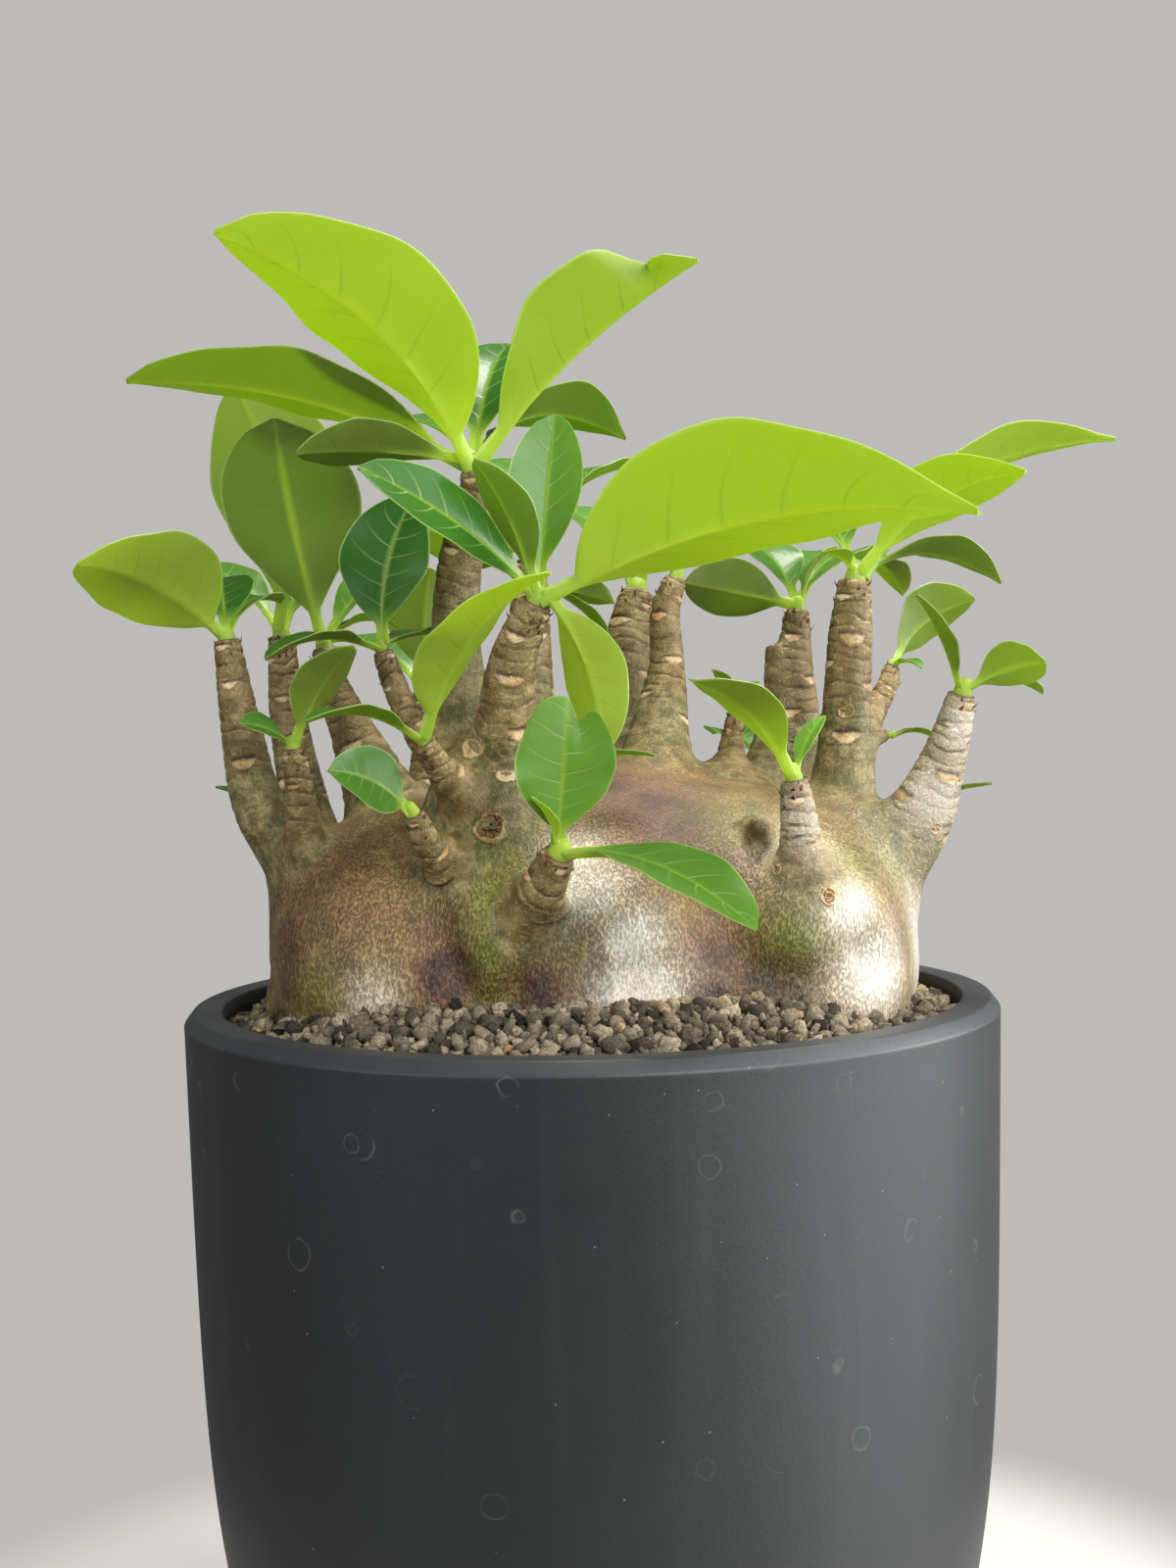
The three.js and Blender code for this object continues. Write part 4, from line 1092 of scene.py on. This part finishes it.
def makeCaudex():
    points, faces = skinOf(barkField)
    caudex = makePiece("caudex_skin", barkField.settleOn(points, 2), faces, barkFinish)
    thin = caudex.modifiers.new("thin out", "DECIMATE")
    thin.ratio = min(1, barkSizes["faces"] / (2 * len(faces)))
    applyModifiers(caudex)
    mesh = caudex.data
    spots = np.zeros(3 * len(mesh.vertices))
    mesh.vertices.foreach_get("co", spots)
    spots = spots.reshape(-1, 3) / mm
    normals = barkField.slopeAt(spots)
    gap, fromTip, radius, number = placesOnBranches(spots)
    onBranch = 1 - smoothStep(0.8, 3.0, gap)
    # Rings of the branches, shallow and broken, and lumps that are strongest off the branches
    ringed = smoothStep(60, 8, fromTip) * onBranch
    phase = 9 * np.log1p(fromTip / (9 * barkSizes["ringSpacing"])) + number * 0.37
    phase += 0.45 * softNoise(spots, 5.0, 1) + 0.16 * softNoise(spots, 1.8, 2)
    fromRing = np.abs(phase - np.round(phase))
    groove = bell(fromRing, barkSizes["ringWidth"])
    patchy = 0.55 + 0.45 * softNoise(spots, 2.6, 3)
    depth = barkSizes["ringDepth"] * ringed * (0.6 * (fromRing - 0.25) - groove * patchy)
    lumps = barkSizes["lumps"] * softNoise(spots, 11.0, 4) + barkSizes["fineLumps"] * softNoise(spots, 2.4, 5)
    depth += lumps * (1 - 0.75 * onBranch)
    # The branches' free ends dip under the finer bark that makeTip gives them
    free = freeLengths[number.astype(int)]
    free = np.where(free < tipSizes["least"], -10, free)
    under = onBranch * (1 - smoothStep(0, 1, (fromTip - free + 2 * tipSizes["sink"]) / tipSizes["sink"]))
    depth -= tipSizes["dip"] * under
    for through, height, width in folds:
        along = smoothPath([(*point, 1) for point in through])[:, :3]
        depth += height * bell(nearestOf(spots, along, 3 * width), width)
    spots = spots + normals * depth[:, None]
    mesh.vertices.foreach_set("co", (spots * mm).ravel())
    mesh.update()
    shadeSmooth(mesh)
    finishBark(caudex, spots, young=youngShare(fromTip, radius) * onBranch,
               rings=0.5 * groove * ringed * np.clip(patchy, 0, 1), cork=0, wound=0)
    print("  caudex", len(spots), "points")


makeCaudex()


# A leaf scar like a smile, x and y from its middle as shares of its half width and half height: patch and
# dark edge
def leafScar(x, y):
    sag = np.clip(1 - x ** 2, 0, 1)
    middle, half = -0.45 * sag, 0.12 + 0.62 * sag
    patch = smoothStep(0.0, 0.35, (1 - np.abs(y - middle) / half) * (np.abs(x) < 1))
    edge = bell(y - middle - half, 0.26) + 0.5 * bell(y - middle + half, 0.16)
    return patch, np.minimum(edge, 1) * smoothStep(1.15, 0.85, np.abs(x))


# Sheets on the last millimetres of the branches, for the bud scales: points with the branch's direction and a
# share
tipSheets = []


# A branch's free end: smooth bark with shallow rings left by fallen leaves, a cork scar for each leaf
def makeTip(name, path, number):
    free = float(freeLengths[number])
    if free < tipSizes["least"]:
        return
    chance = random.Random(100 + number)
    count = int(free / tipSizes["step"])
    sides = tipSizes["around"]
    fromTip = np.linspace(free, 0, count)
    centres, radii, _ = (np.array(found) for found in zip(*[alongBranch(path, f) for f in fromTip]))
    ways = np.gradient(centres, axis=0)
    ways /= np.linalg.norm(ways, axis=1, keepdims=True)
    across = unit(np.cross(ways[0], [0.0, 1.0, 0.01]))
    outs = []
    for way in ways:
        across = unit(across - way * across.dot(way))
        outs.append(circleAbout(across, np.cross(way, across), sides))
    points = np.concatenate([centre + radius * out for centre, radius, out in zip(centres, radii, outs)])
    out = np.concatenate(outs)
    for _ in range(4):
        points = points - out * np.clip(barkField.at(points), -1.5, 1.5)[:, None]
    # Rings, closer towards the tip, with dark cracks and a line of cork between them
    f = np.repeat(fromTip, sides)
    turn = np.tile(2 * np.pi * np.arange(sides) / sides, count)
    tilt = 0.25 * np.cos(turn - chance.uniform(0, 6)) + 0.12 * np.cos(2 * turn - chance.uniform(0, 6))
    phase = np.log1p(f * tipSizes["growth"] / tipSizes["spacing"]) / tipSizes["growth"]
    phase = phase + tilt + 0.3 * softNoise(points, 3.2, 11) + 0.1 * softNoise(points, 1.0, 12)
    part = phase - np.floor(phase)
    crack = bell(np.minimum(part, 1 - part), 0.1)
    patchy = np.clip(0.55 + softNoise(points, 2.6, 13 + number), 0, 1)
    fade = 1 - 0.6 * smoothStep(12, 34, f)
    bulge = tipSizes["bulge"] * np.sin(np.pi * part) ** 0.7
    relief = fade * (bulge - tipSizes["groove"] * crack * (0.3 + 0.7 * patchy))
    relief += 0.05 * softNoise(points, 1.1, 14) + 0.03 * softNoise(points, 0.55, 16)
    dark = 0.85 * fade * crack * patchy
    cork = 0.4 * fade * bell(part - 0.14, 0.05) * patchy
    # Leaf scars in a spiral
    place, heading = 0.8, chance.uniform(0, 360)
    while place < free:
        heading = (heading + tipSizes["scarTurn"] + chance.uniform(-18, 18)) % 360
        radius = alongBranch(path, place)[1]
        wide = min(0.62 * radius, tipSizes["scarWidth"]) * chance.uniform(0.75, 1.1)
        tall = wide * chance.uniform(0.45, 0.7)
        swing = (turn - math.radians(heading) + np.pi) % (2 * np.pi) - np.pi
        x = swing * radius / wide + 0.1 * softNoise(points, 0.8, 15)
        y = (place - f) / tall + 0.12 * softNoise(points, 0.6, 17)
        patch, edge = leafScar(x, y)
        strength = chance.uniform(0.7, 1)
        cork = np.maximum(cork * (1 - patch), strength * patch)
        dark = np.maximum(dark * (1 - patch), strength * edge)
        relief = relief * (1 - 0.8 * patch) + 0.1 * patch - 0.18 * edge
        place += tipSizes["scarEvery"] * chance.uniform(0.75, 1.3) * (0.75 + 0.03 * place)
    sunk = smoothStep(free - tipSizes["sink"], free, f)
    points = points + out * (0.03 + relief * (1 - sunk) - 0.5 * sunk)[:, None]
    last = f < tipSizes["twigEnd"]
    sheetFaces = ringFaces(int(last.sum()) // sides, sides)
    tipSheets.append((points[last], sheetFaces, np.repeat(ways, sides, 0)[last],
                      0.8 * smoothStep(tipSizes["twigEnd"], 0.5, f[last])))
    # Three rings close the end as a low dome
    end = path[-1, :3]
    dome = [end + rise * ways[-1] + share * radii[-1] * outs[-1] for share, rise in tipSizes["dome"]]
    spots, faces = shellOf(centres[0], [*points.reshape(count, sides, 3), *dome], end)
    added = (1, len(spots) - len(points) - 1)
    young = np.pad(youngShare(f, np.repeat(radii, sides)), added, constant_values=1)
    dark = np.pad(dark, added, constant_values=0.7)
    cork = np.pad(cork, added, constant_values=0.2)
    tip = makePiece(f"bark_{name}", spots, faces, barkFinish)
    finishBark(tip, spots, young=young, rings=dark, cork=cork, wound=0)


for number, (name, path) in enumerate(paths.items()):
    makeTip(name, path, number)
print("  branch ends", int((freeLengths >= tipSizes["least"]).sum()))

# Dry brown bud scales that stay at the ends of the branches, in millimetres
scaleSizes = {"spacing": 1.3, "length": 1.0, "seed": 5}


# Dead papery scales: dark brown, some of them paler, at random
def paperyScale(add):
    tone = add("Attribute", attribute_name="tone").outputs["Fac"]
    colour = add("Mix", [tone, "#2e1a10", "#7a4a2b"], data_type="RGBA")
    return add("BsdfPrincipled", {"Base Color": colour, "Roughness": 0.6})


# Flat pointed scales that lean towards the branch's tip
def scaleCopies(add, given):
    share = add("GeometryNodeInputNamedAttribute", {"Name": "share"}, data_type="FLOAT")
    seed = given["Seed"]
    spots = add("GeometryNodeDistributePointsOnFaces", {
        "Mesh": given["Sheet"], "Distance Min": given["Spacing"], "Density Max": 500000,
        "Density Factor": share, "Seed": seed,
    }, distribute_method="POISSON")
    towards = add("GeometryNodeInputNamedAttribute", {"Name": "way"}, data_type="FLOAT_VECTOR")
    outward = spots.outputs["Normal"]
    leaning = add("VectorMath", [outward, (0.55, 0.55, 0.55), towards], operation="MULTIPLY_ADD")
    strayed = add("FunctionNodeRandomValue", {
        "Min": (-0.3, -0.3, -0.2), "Max": (0.3, 0.3, 0.2), "Seed": seed,
    }, data_type="FLOAT_VECTOR")
    heading = add("VectorMath", [leaning, strayed], operation="ADD")
    upright = add("FunctionNodeAlignRotationToVector", {"Vector": heading}, axis="Z")
    turned = add("FunctionNodeAlignRotationToVector", {"Rotation": upright, "Vector": outward}, axis="Y",
                 pivot_axis="Z")
    scale = add("GeometryNodeMeshCone", {
        "Vertices": 6, "Side Segments": 3, "Radius Top": 0.03, "Radius Bottom": 0.34, "Depth": 1,
    })
    size = add("FunctionNodeRandomValue", {
        "Min": (0.7, 0.3, 0.5), "Max": (1.3, 0.6, 1.5), "Seed": seed,
    }, data_type="FLOAT_VECTOR")
    sized = add("VectorMath", [size, given["Length"]], operation="SCALE")
    return add("GeometryNodeInstanceOnPoints", {
        "Points": spots, "Instance": scale, "Rotation": turned, "Scale": sized,
    })


def makeBudScales():
    sheet = meshOf("twig ends", *joinShapes([tipSheet[:2] for tipSheet in tipSheets]))
    storeValues(sheet, "share", np.concatenate([shares for _, _, _, shares in tipSheets]))
    storeValues(sheet, "way", np.concatenate([ways for _, _, ways, _ in tipSheets]), "FLOAT_VECTOR")
    finish = newMaterial("papery bud scale", paperyScale)
    tree = scatterTree("bud scales", ["Spacing", "Length"], finish, scaleCopies)
    scales = scatterOver("bud_scales", sheet, tree, Spacing=scaleSizes["spacing"] * mm,
                         Length=scaleSizes["length"] * mm, Seed=scaleSizes["seed"])
    settle(scales, "bark", "caudex")
    print("  bud scales", len(scales.data.polygons), "faces")


makeBudScales()

# How a scar is drawn, as shares of its half width and half height
scarShape = {"rings": 26, "sides": 56, "reach": 1.35, "rimAt": 0.92, "rimWidth": 0.16, "depth": 1.2}


# Scars on the caudex and the trunks: discs of cork that follow the bark, with a raised rim and a rough middle
def makeScars():
    sides = scarShape["sides"]
    steps = np.linspace(0, scarShape["reach"], scarShape["rings"])[1:]
    shells, looks = [], []
    for x, z, wide, tall, height, roughness in scars:
        centre = frontPoint(x, z)
        out = barkField.slopeAt(centre[None])[0]
        across = unit(np.cross([0, 0, 1], out))
        ring = circleAbout(wide * across, tall * np.cross(out, across), sides)
        spots = barkField.settleOn(np.concatenate([[centre], *[centre + step * ring for step in steps]]), 3)
        away = np.concatenate([[0], np.repeat(steps, sides)])
        ragged = away * (1 + 0.22 * softNoise(spots, 1.5, 6) + 0.12 * softNoise(spots, 0.5, 9))
        flaky = np.abs(softNoise(spots, 0.8, 7)) + 0.5 * np.abs(softNoise(spots, 0.4, 8))
        raw = roughness * (1 - smoothStep(0.7, 0.95, ragged))
        lift = height * bell(ragged - scarShape["rimAt"], scarShape["rimWidth"]) + 0.03
        lift += raw * (1.1 * flaky - 0.5) - 0.6 * smoothStep(1.1, scarShape["reach"], away)
        spots = spots + barkField.slopeAt(spots) * lift[:, None]
        beneath = centre - scarShape["depth"] * out
        points, faces = shellOf(spots[0], spots[1:].reshape(len(steps), sides, 3), beneath)
        shells.append((points, [face[::-1] for face in faces]))
        upper = np.clip(0.3 + circlePoints(1, 0, sides)[:, 1], 0, 1)
        above = np.concatenate([[0], np.tile(upper, len(steps))])
        dark = 0.7 * above * bell(ragged - 1, 0.1)
        cork = 0.85 * (1 - smoothStep(0.85, 1.12, ragged))
        looks.append(np.pad([dark, cork, raw], ((0, 0), (0, 1))))
    points, faces = joinShapes(shells)
    dark, cork, wound = np.concatenate(looks, 1)
    piece = makePiece("bark_scars", points, faces, barkFinish)
    finishBark(piece, points, young=0, rings=dark, cork=cork, wound=wound)


makeScars()

# Leaves, in millimetres
print("leaves")
leafSizes = {
    "stalkShare": 0.09, "stalkNarrowing": 0.4, "wave": 0.014, "waveRate": 9, "ripple": 0.012,
    "rippleRate": 23,
    "shootHeight": 5, "gap": 0.3, "seatHeight": 0.18, "seatOutward": 0.3, "seatSpacing": 0.4,
    "blade": 0.5, "edge": 0.16, "stalk": 1.9, "usualLength": 55, "smallLength": 16, "notchedEnd": 0.82,
    "notchPlace": -0.38, "sharpAngle": 50,
    "large": {"steps": 40, "across": 19, "stalkHalf": 1.2, "thinness": 1},
    "small": {"steps": 14, "across": 9, "stalkHalf": 0.7, "thinness": 0.75},
}
shootLevels = [(-0.1, 0.7), (0.1, 0.68), (0.25, 0.6), (0.4, 0.52), (0.52, 0.4), (0.6, 0.2)]


# Leathery adenium leaf: satin and dark above, pale and matt beneath, and yellow-green where light comes
# through
def adeniumLeaf(add):
    place = add("TexCoord").outputs
    along, wide, _ = add("SeparateXYZ", [place["UV"]]).outputs
    upper, tone, rib = (add("Attribute", attribute_name=name).outputs["Fac"]
                        for name in ("upper", "tone", "rib"))
    across = add("Math", [wide, 2, -1], operation="MULTIPLY_ADD")
    fromRib = add("Math", [across], operation="ABSOLUTE")
    # Seven or eight side veins on each half, that leave the midrib forwards and curve along the edge
    wander = add("TexNoise", {"Vector": place["Object"], "Scale": 60, "Detail": 1})
    curved = add("Math", [fromRib, 1.35], operation="POWER")
    forward = add("Math", [curved, -1.15], operation="MULTIPLY")
    row = add("Math", [along, 7.5, forward], operation="MULTIPLY_ADD")
    half = add("Math", [across, 0], operation="GREATER_THAN")
    staggered = add("Math", [half, 0.45, row], operation="MULTIPLY_ADD")
    wandered = add("Math", [wander, 0.5, staggered], operation="MULTIPLY_ADD")
    turn = add("Math", [wandered], operation="FRACT")
    veinGap = add("Math", [add("Math", [turn, 0.5], operation="SUBTRACT")], operation="ABSOLUTE")
    veinLine = add("MapRange", [veinGap, 0, 0.06, 1, 0], interpolation_type="SMOOTHSTEP")
    vein = add("Math", [veinLine, add("MapRange", [fromRib, 0.1, 0.9, 1, 0])], operation="MULTIPLY")
    # Tones of the lower face and of the upper one. Both turn paler with the leaf's tone, which carries
    # painted
    # light and shade as well as yellowing: paler on leaves painted as lit or sheened, darker on leaves
    # painted as shaded.
    clouds = add("TexNoise", {"Vector": place["Object"], "Scale": 45, "Detail": 3})
    faces = []
    for dark, light, old, veinColour, veinShare in (
        ("#687d32", "#90a54e", "#b4c94a", "#4f7a14", 0.14),
        ("#28601c", "#44822c", "#86bd52", "#bcd690", 0.65),
    ):
        fresh = add("Mix", [clouds, dark, light], data_type="RGBA")
        agedAndLit = add("Mix", [tone, fresh, old], data_type="RGBA")
        share = add("Math", [vein, veinShare], operation="MULTIPLY")
        faces.append(add("Mix", [share, agedAndLit, veinColour], data_type="RGBA"))
    blade = add("Mix", [upper, *faces], data_type="RGBA")
    # The midrib and the stalk are pale and juicy, and the edge is pale
    ribbed = add("Mix", [rib, blade, "#b3d350"], data_type="RGBA")
    rim = add("MapRange", [fromRib, 0.955, 0.99, 0, 0.75])
    rimmed = add("Mix", [rim, ribbed, "#cfe58f"], data_type="RGBA")
    fine = add("TexNoise", {"Vector": place["Object"], "Scale": 700, "Detail": 3})
    relief = add("Math", [vein, -0.8, fine], operation="MULTIPLY_ADD")
    bump = add("Bump", {"Strength": 0.2, "Distance": 0.0003, "Height": relief})
    gloss = add("MapRange", [upper, 0, 1, 0.5, 0.26])
    skin = add("BsdfPrincipled", {"Base Color": rimmed, "Roughness": gloss, "Normal": bump, "IOR": 1.45})
    # Light that comes through is filtered twice, once by each face. Its colour follows the leaf's tone too,
    # as
    # painted light and shade: duller on leaves painted as shaded, brighter on leaves painted as lit.
    agedAndLit = add("Mix", [tone, "#94b512", "#cfe60e"], data_type="RGBA")
    veined = add("Mix", [add("Math", [vein, 0.35], operation="MULTIPLY"), agedAndLit, "#93b512"], data_type="RGBA")
    glow = add("BsdfTranslucent", {"Color": add("Mix", [rib, veined, "#e6f47e"], data_type="RGBA")})
    return add("MixShader", [0.5, skin, glow])


leafFinish = newMaterial("adenium leaf", adeniumLeaf)


def turnAbout(vector, axis, degrees):
    angle = math.radians(degrees)
    return (vector * math.cos(angle) + np.cross(axis, vector) * math.sin(angle)
            + axis * axis.dot(vector) * (1 - math.cos(angle)))


def halfWidth(t, given, stalk):
    share = np.clip((t - leafSizes["stalkShare"]) / (1 - leafSizes["stalkShare"]), 0, 1)
    curve = given["heel"] + (given["point"] - given["heel"]) * share
    blade = given["width"] / 2 * np.maximum(np.sin(np.pi * share ** given["taper"]), 0) ** curve
    return np.maximum(stalk * (1 - leafSizes["stalkNarrowing"] * t), blade)


# One leaf as a closed blade: rings of points from stalk to tip, each across the upper face and back beneath.
# With its points and faces come each point's place on the blade, whether it is above, and its share of rib.
def leafMesh(base, tip, phase, given):
    chord = tip - base
    length = np.linalg.norm(chord)
    detail = leafSizes["small" if length < leafSizes["smallLength"] else "large"]
    way = chord / length
    up = np.array([0, 0, 1.0])
    up = turnAbout(unit(up - way * up.dot(way)), way, given["roll"])
    side = np.cross(up, way)
    middle = (base + tip) / 2 + up * 2 * given["arch"] + side * 2 * given["bend"]
    # Steps along the leaf, closer towards the tip, and across it, closer at the rib and the edges
    s = np.linspace(0, 1, detail["steps"] + 1)
    ts = 1 - (1 - s) ** 1.35
    ts = 0.5 * ts + 0.5 * (1 - np.sqrt(np.maximum(1 - s ** 2, 0)) ** 1.4)
    ts[-1] = 1
    count = detail["across"]
    k = np.linspace(-1, 1, count)
    vs = np.sign(k) * (0.55 * np.abs(k) ** 1.6 + 0.45 * np.abs(k) ** 0.8)
    soft = (np.sqrt(vs ** 2 + 0.012) - math.sqrt(0.012)) / (math.sqrt(1.012) - math.sqrt(0.012))
    scale = np.clip(length / leafSizes["usualLength"], 0.38, 1.05)
    width, fold, notch = given["width"], given["fold"], given["notch"]
    points, uvs, uppers, ribs = [], [], [], []
    for t in ts:
        spot = (1 - t) ** 2 * base + 2 * t * (1 - t) * middle + t ** 2 * tip
        tangent = unit(2 * (1 - t) * (middle - base) + 2 * t * (tip - middle))
        across = unit(side - tangent * side.dot(tangent))
        face = np.cross(tangent, across)
        half = float(halfWidth(t * (leafSizes["notchedEnd"] if notch else 1), given, detail["stalkHalf"]))
        if t >= 1 and not notch:
            half = 0.02 * width
        # The halves fold up from the midrib, with a slow wave and a ripple at the edge
        bulge = math.sin(math.pi * t)
        wave = leafSizes["wave"] * width * math.sin(leafSizes["waveRate"] * t + phase) * bulge
        ripples = np.sin(leafSizes["rippleRate"] * t + 2 * phase + 1.7 * np.sign(vs))
        ripple = leafSizes["ripple"] * width * ripples * bulge
        rise = fold * half * soft + wave * vs * np.abs(vs) + ripple * np.abs(vs) ** 3
        rise = rise + 0.05 * half * (np.abs(vs) - vs ** 2)
        halves = np.full(count, half)
        if given["curl"]:
            turned = np.clip(vs * given["curl"], 0, 1)
            drawnIn = 0.85 * bell(t - 0.84, 0.04) + 0.12 * smoothStep(0.83, 0.88, t)
            halves = half * (1 - turned ** 0.4 * drawnIn)
            rise = rise - 0.35 * half * smoothStep(0.8, 0.92, t) * turned ** 1.3
        onward = np.zeros(count)
        if notch:
            lobe = smoothStep(0.55, 1.0, t) ** 1.5
            away = vs - leafSizes["notchPlace"]
            rounded = 0.6 * half * (1 - vs ** 2) ** 0.5 * (1 + 0.4 * vs)
            onward = lobe * (rounded - notch * bell(away, 0.2))
            rise = rise - 0.25 * half * lobe * bell(away, 0.3)
        # Thick along the rib and round at the stalk, with a groove above the rib
        stalked = 1 - smoothStep(0.04, 0.26, t)
        ribWidth = (1.25 - 0.95 * t) * scale / half
        ribHeight = (1.0 * (1 - t) ** 1.3 + 0.06) * scale
        ridge = bell(vs, max(ribWidth, 0.09))
        thin = leafSizes["edge"] + (leafSizes["blade"] - leafSizes["edge"]) * (1 - np.abs(vs) ** 3)
        thin = thin * detail["thinness"]
        thick = leafSizes["stalk"] * scale * np.sqrt(np.maximum(1 - 0.86 * vs ** 2, 0.05))
        thickness = thin + ridge * ribHeight * 0.75
        thickness = thickness * (1 - stalked) + np.maximum(thick, thin) * stalked
        groove = 0.16 * scale * ridge * (1 - stalked)
        top = (spot + (halves * vs)[:, None] * across + (rise - groove)[:, None] * face
               + onward[:, None] * tangent)
        points += [top[::-1], top - thickness[:, None] * face]
        uv = np.stack([np.full(count, t), 0.5 + 0.5 * vs], 1)
        uvs += [uv[::-1], uv]
        uppers += [np.ones(count), np.zeros(count)]
        line = bell(vs, max(0.75 * ribWidth, 0.03)) * (0.9 - 0.5 * t)
        ribs += [np.maximum(0.75 * line, stalked)[::-1], np.maximum(line, stalked)]
    ring = 2 * count
    faces = ringFaces(len(ts), ring)
    last = (len(ts) - 1) * ring
    for k in range(count - 1):
        faces.append((ring - 1 - k, ring - 2 - k, k + 1, k))
        faces.append((last + k, last + k + 1, last + ring - 2 - k, last + ring - 1 - k))
    return np.concatenate(points), faces, np.concatenate(uvs), np.concatenate(uppers), np.concatenate(ribs)


# The green shoot on the end of a branch, given like a leaf
def shootMesh(end, way, radius, height, sides=14):
    across = unit(np.cross(way, [0, 1, 0.01]))
    ring = circleAbout(across, np.cross(way, across), sides)
    points = np.concatenate([end + way * (leafSizes["gap"] + share * height) + radius * wide * ring
                             for share, wide in shootLevels])
    count = len(points)
    faces = [*ringFaces(len(shootLevels), sides), range(sides)[::-1], range(count - sides, count)]
    return points, faces, np.tile([0.0, 0.5], (count, 1)), np.zeros(count), np.ones(count)


# One piece of several leaves, each with its tone
def makeBlades(name, parts, tones, *nodes):
    shapes = [part[:2] for part in parts]
    piece = makePiece(name, *joinShapes(shapes), leafFinish, leafSizes["sharpAngle"])
    places, uppers, ribs = (np.concatenate(values) for values in list(zip(*parts))[2:])
    turns = np.zeros(len(piece.data.loops), int)
    piece.data.loops.foreach_get("vertex_index", turns)
    layer = piece.data.uv_layers.new(name="blade")
    layer.data.foreach_set("uv", places[turns].astype(np.float32).ravel())
    storeValues(piece.data, "upper", uppers)
    storeValues(piece.data, "rib", ribs)
    storeValues(piece.data, "tone", np.repeat(tones, [len(points) for points, _ in shapes]))
    settle(piece, "leaf", *nodes)


def makeRosette(name, leaves, seed):
    chance = random.Random(seed)
    path = paths[name]
    end, radius = path[-1, :3], path[-1, 3]
    way = unit(path[-1, :3] - path[-2, :3])
    height = min(leafSizes["shootHeight"], 2 * radius)
    parts = [shootMesh(end, way, radius, height)]
    tones = [0.8]
    for k, given in enumerate(leaves):
        outward = unit(given["tip"] - way * way.dot(given["tip"]))
        rise = leafSizes["gap"] + leafSizes["seatHeight"] * height + leafSizes["seatSpacing"] * k
        base = end + way * rise + outward * leafSizes["seatOutward"] * radius
        parts.append(leafMesh(base, end + given["tip"], 6 * chance.random(), given))
        # A leaf's tone is its age value, which also carries painted light and shade
        tones.append(chance.uniform(0, 0.5) if given["ageAndLight"] is None else given["ageAndLight"])
    makeBlades(f"leaves_{name}_blades", parts, tones, f"leaves_{name}")


for seed, (name, leaves) in enumerate(rosettes.items()):
    makeRosette(name, leaves, 40 + seed)
print("  rosettes", len(rosettes))

# Lone leaves that sprout from the side of a branch, in millimetres: foot, tip and width
sproutLeaves = [((-64, -6, 177.6), (-68.6, -4, 178.6), 2.4), ((66.6, -9.5, 175.4), (72.7, -14, 176.3), 2.6)]
makeBlades("leaves_sprouting", [leafMesh(np.array(foot, float), np.array(tip, float), 0.5, leaf(tip, width))
                                for foot, tip, width in sproutLeaves], [0.4] * len(sproutLeaves))
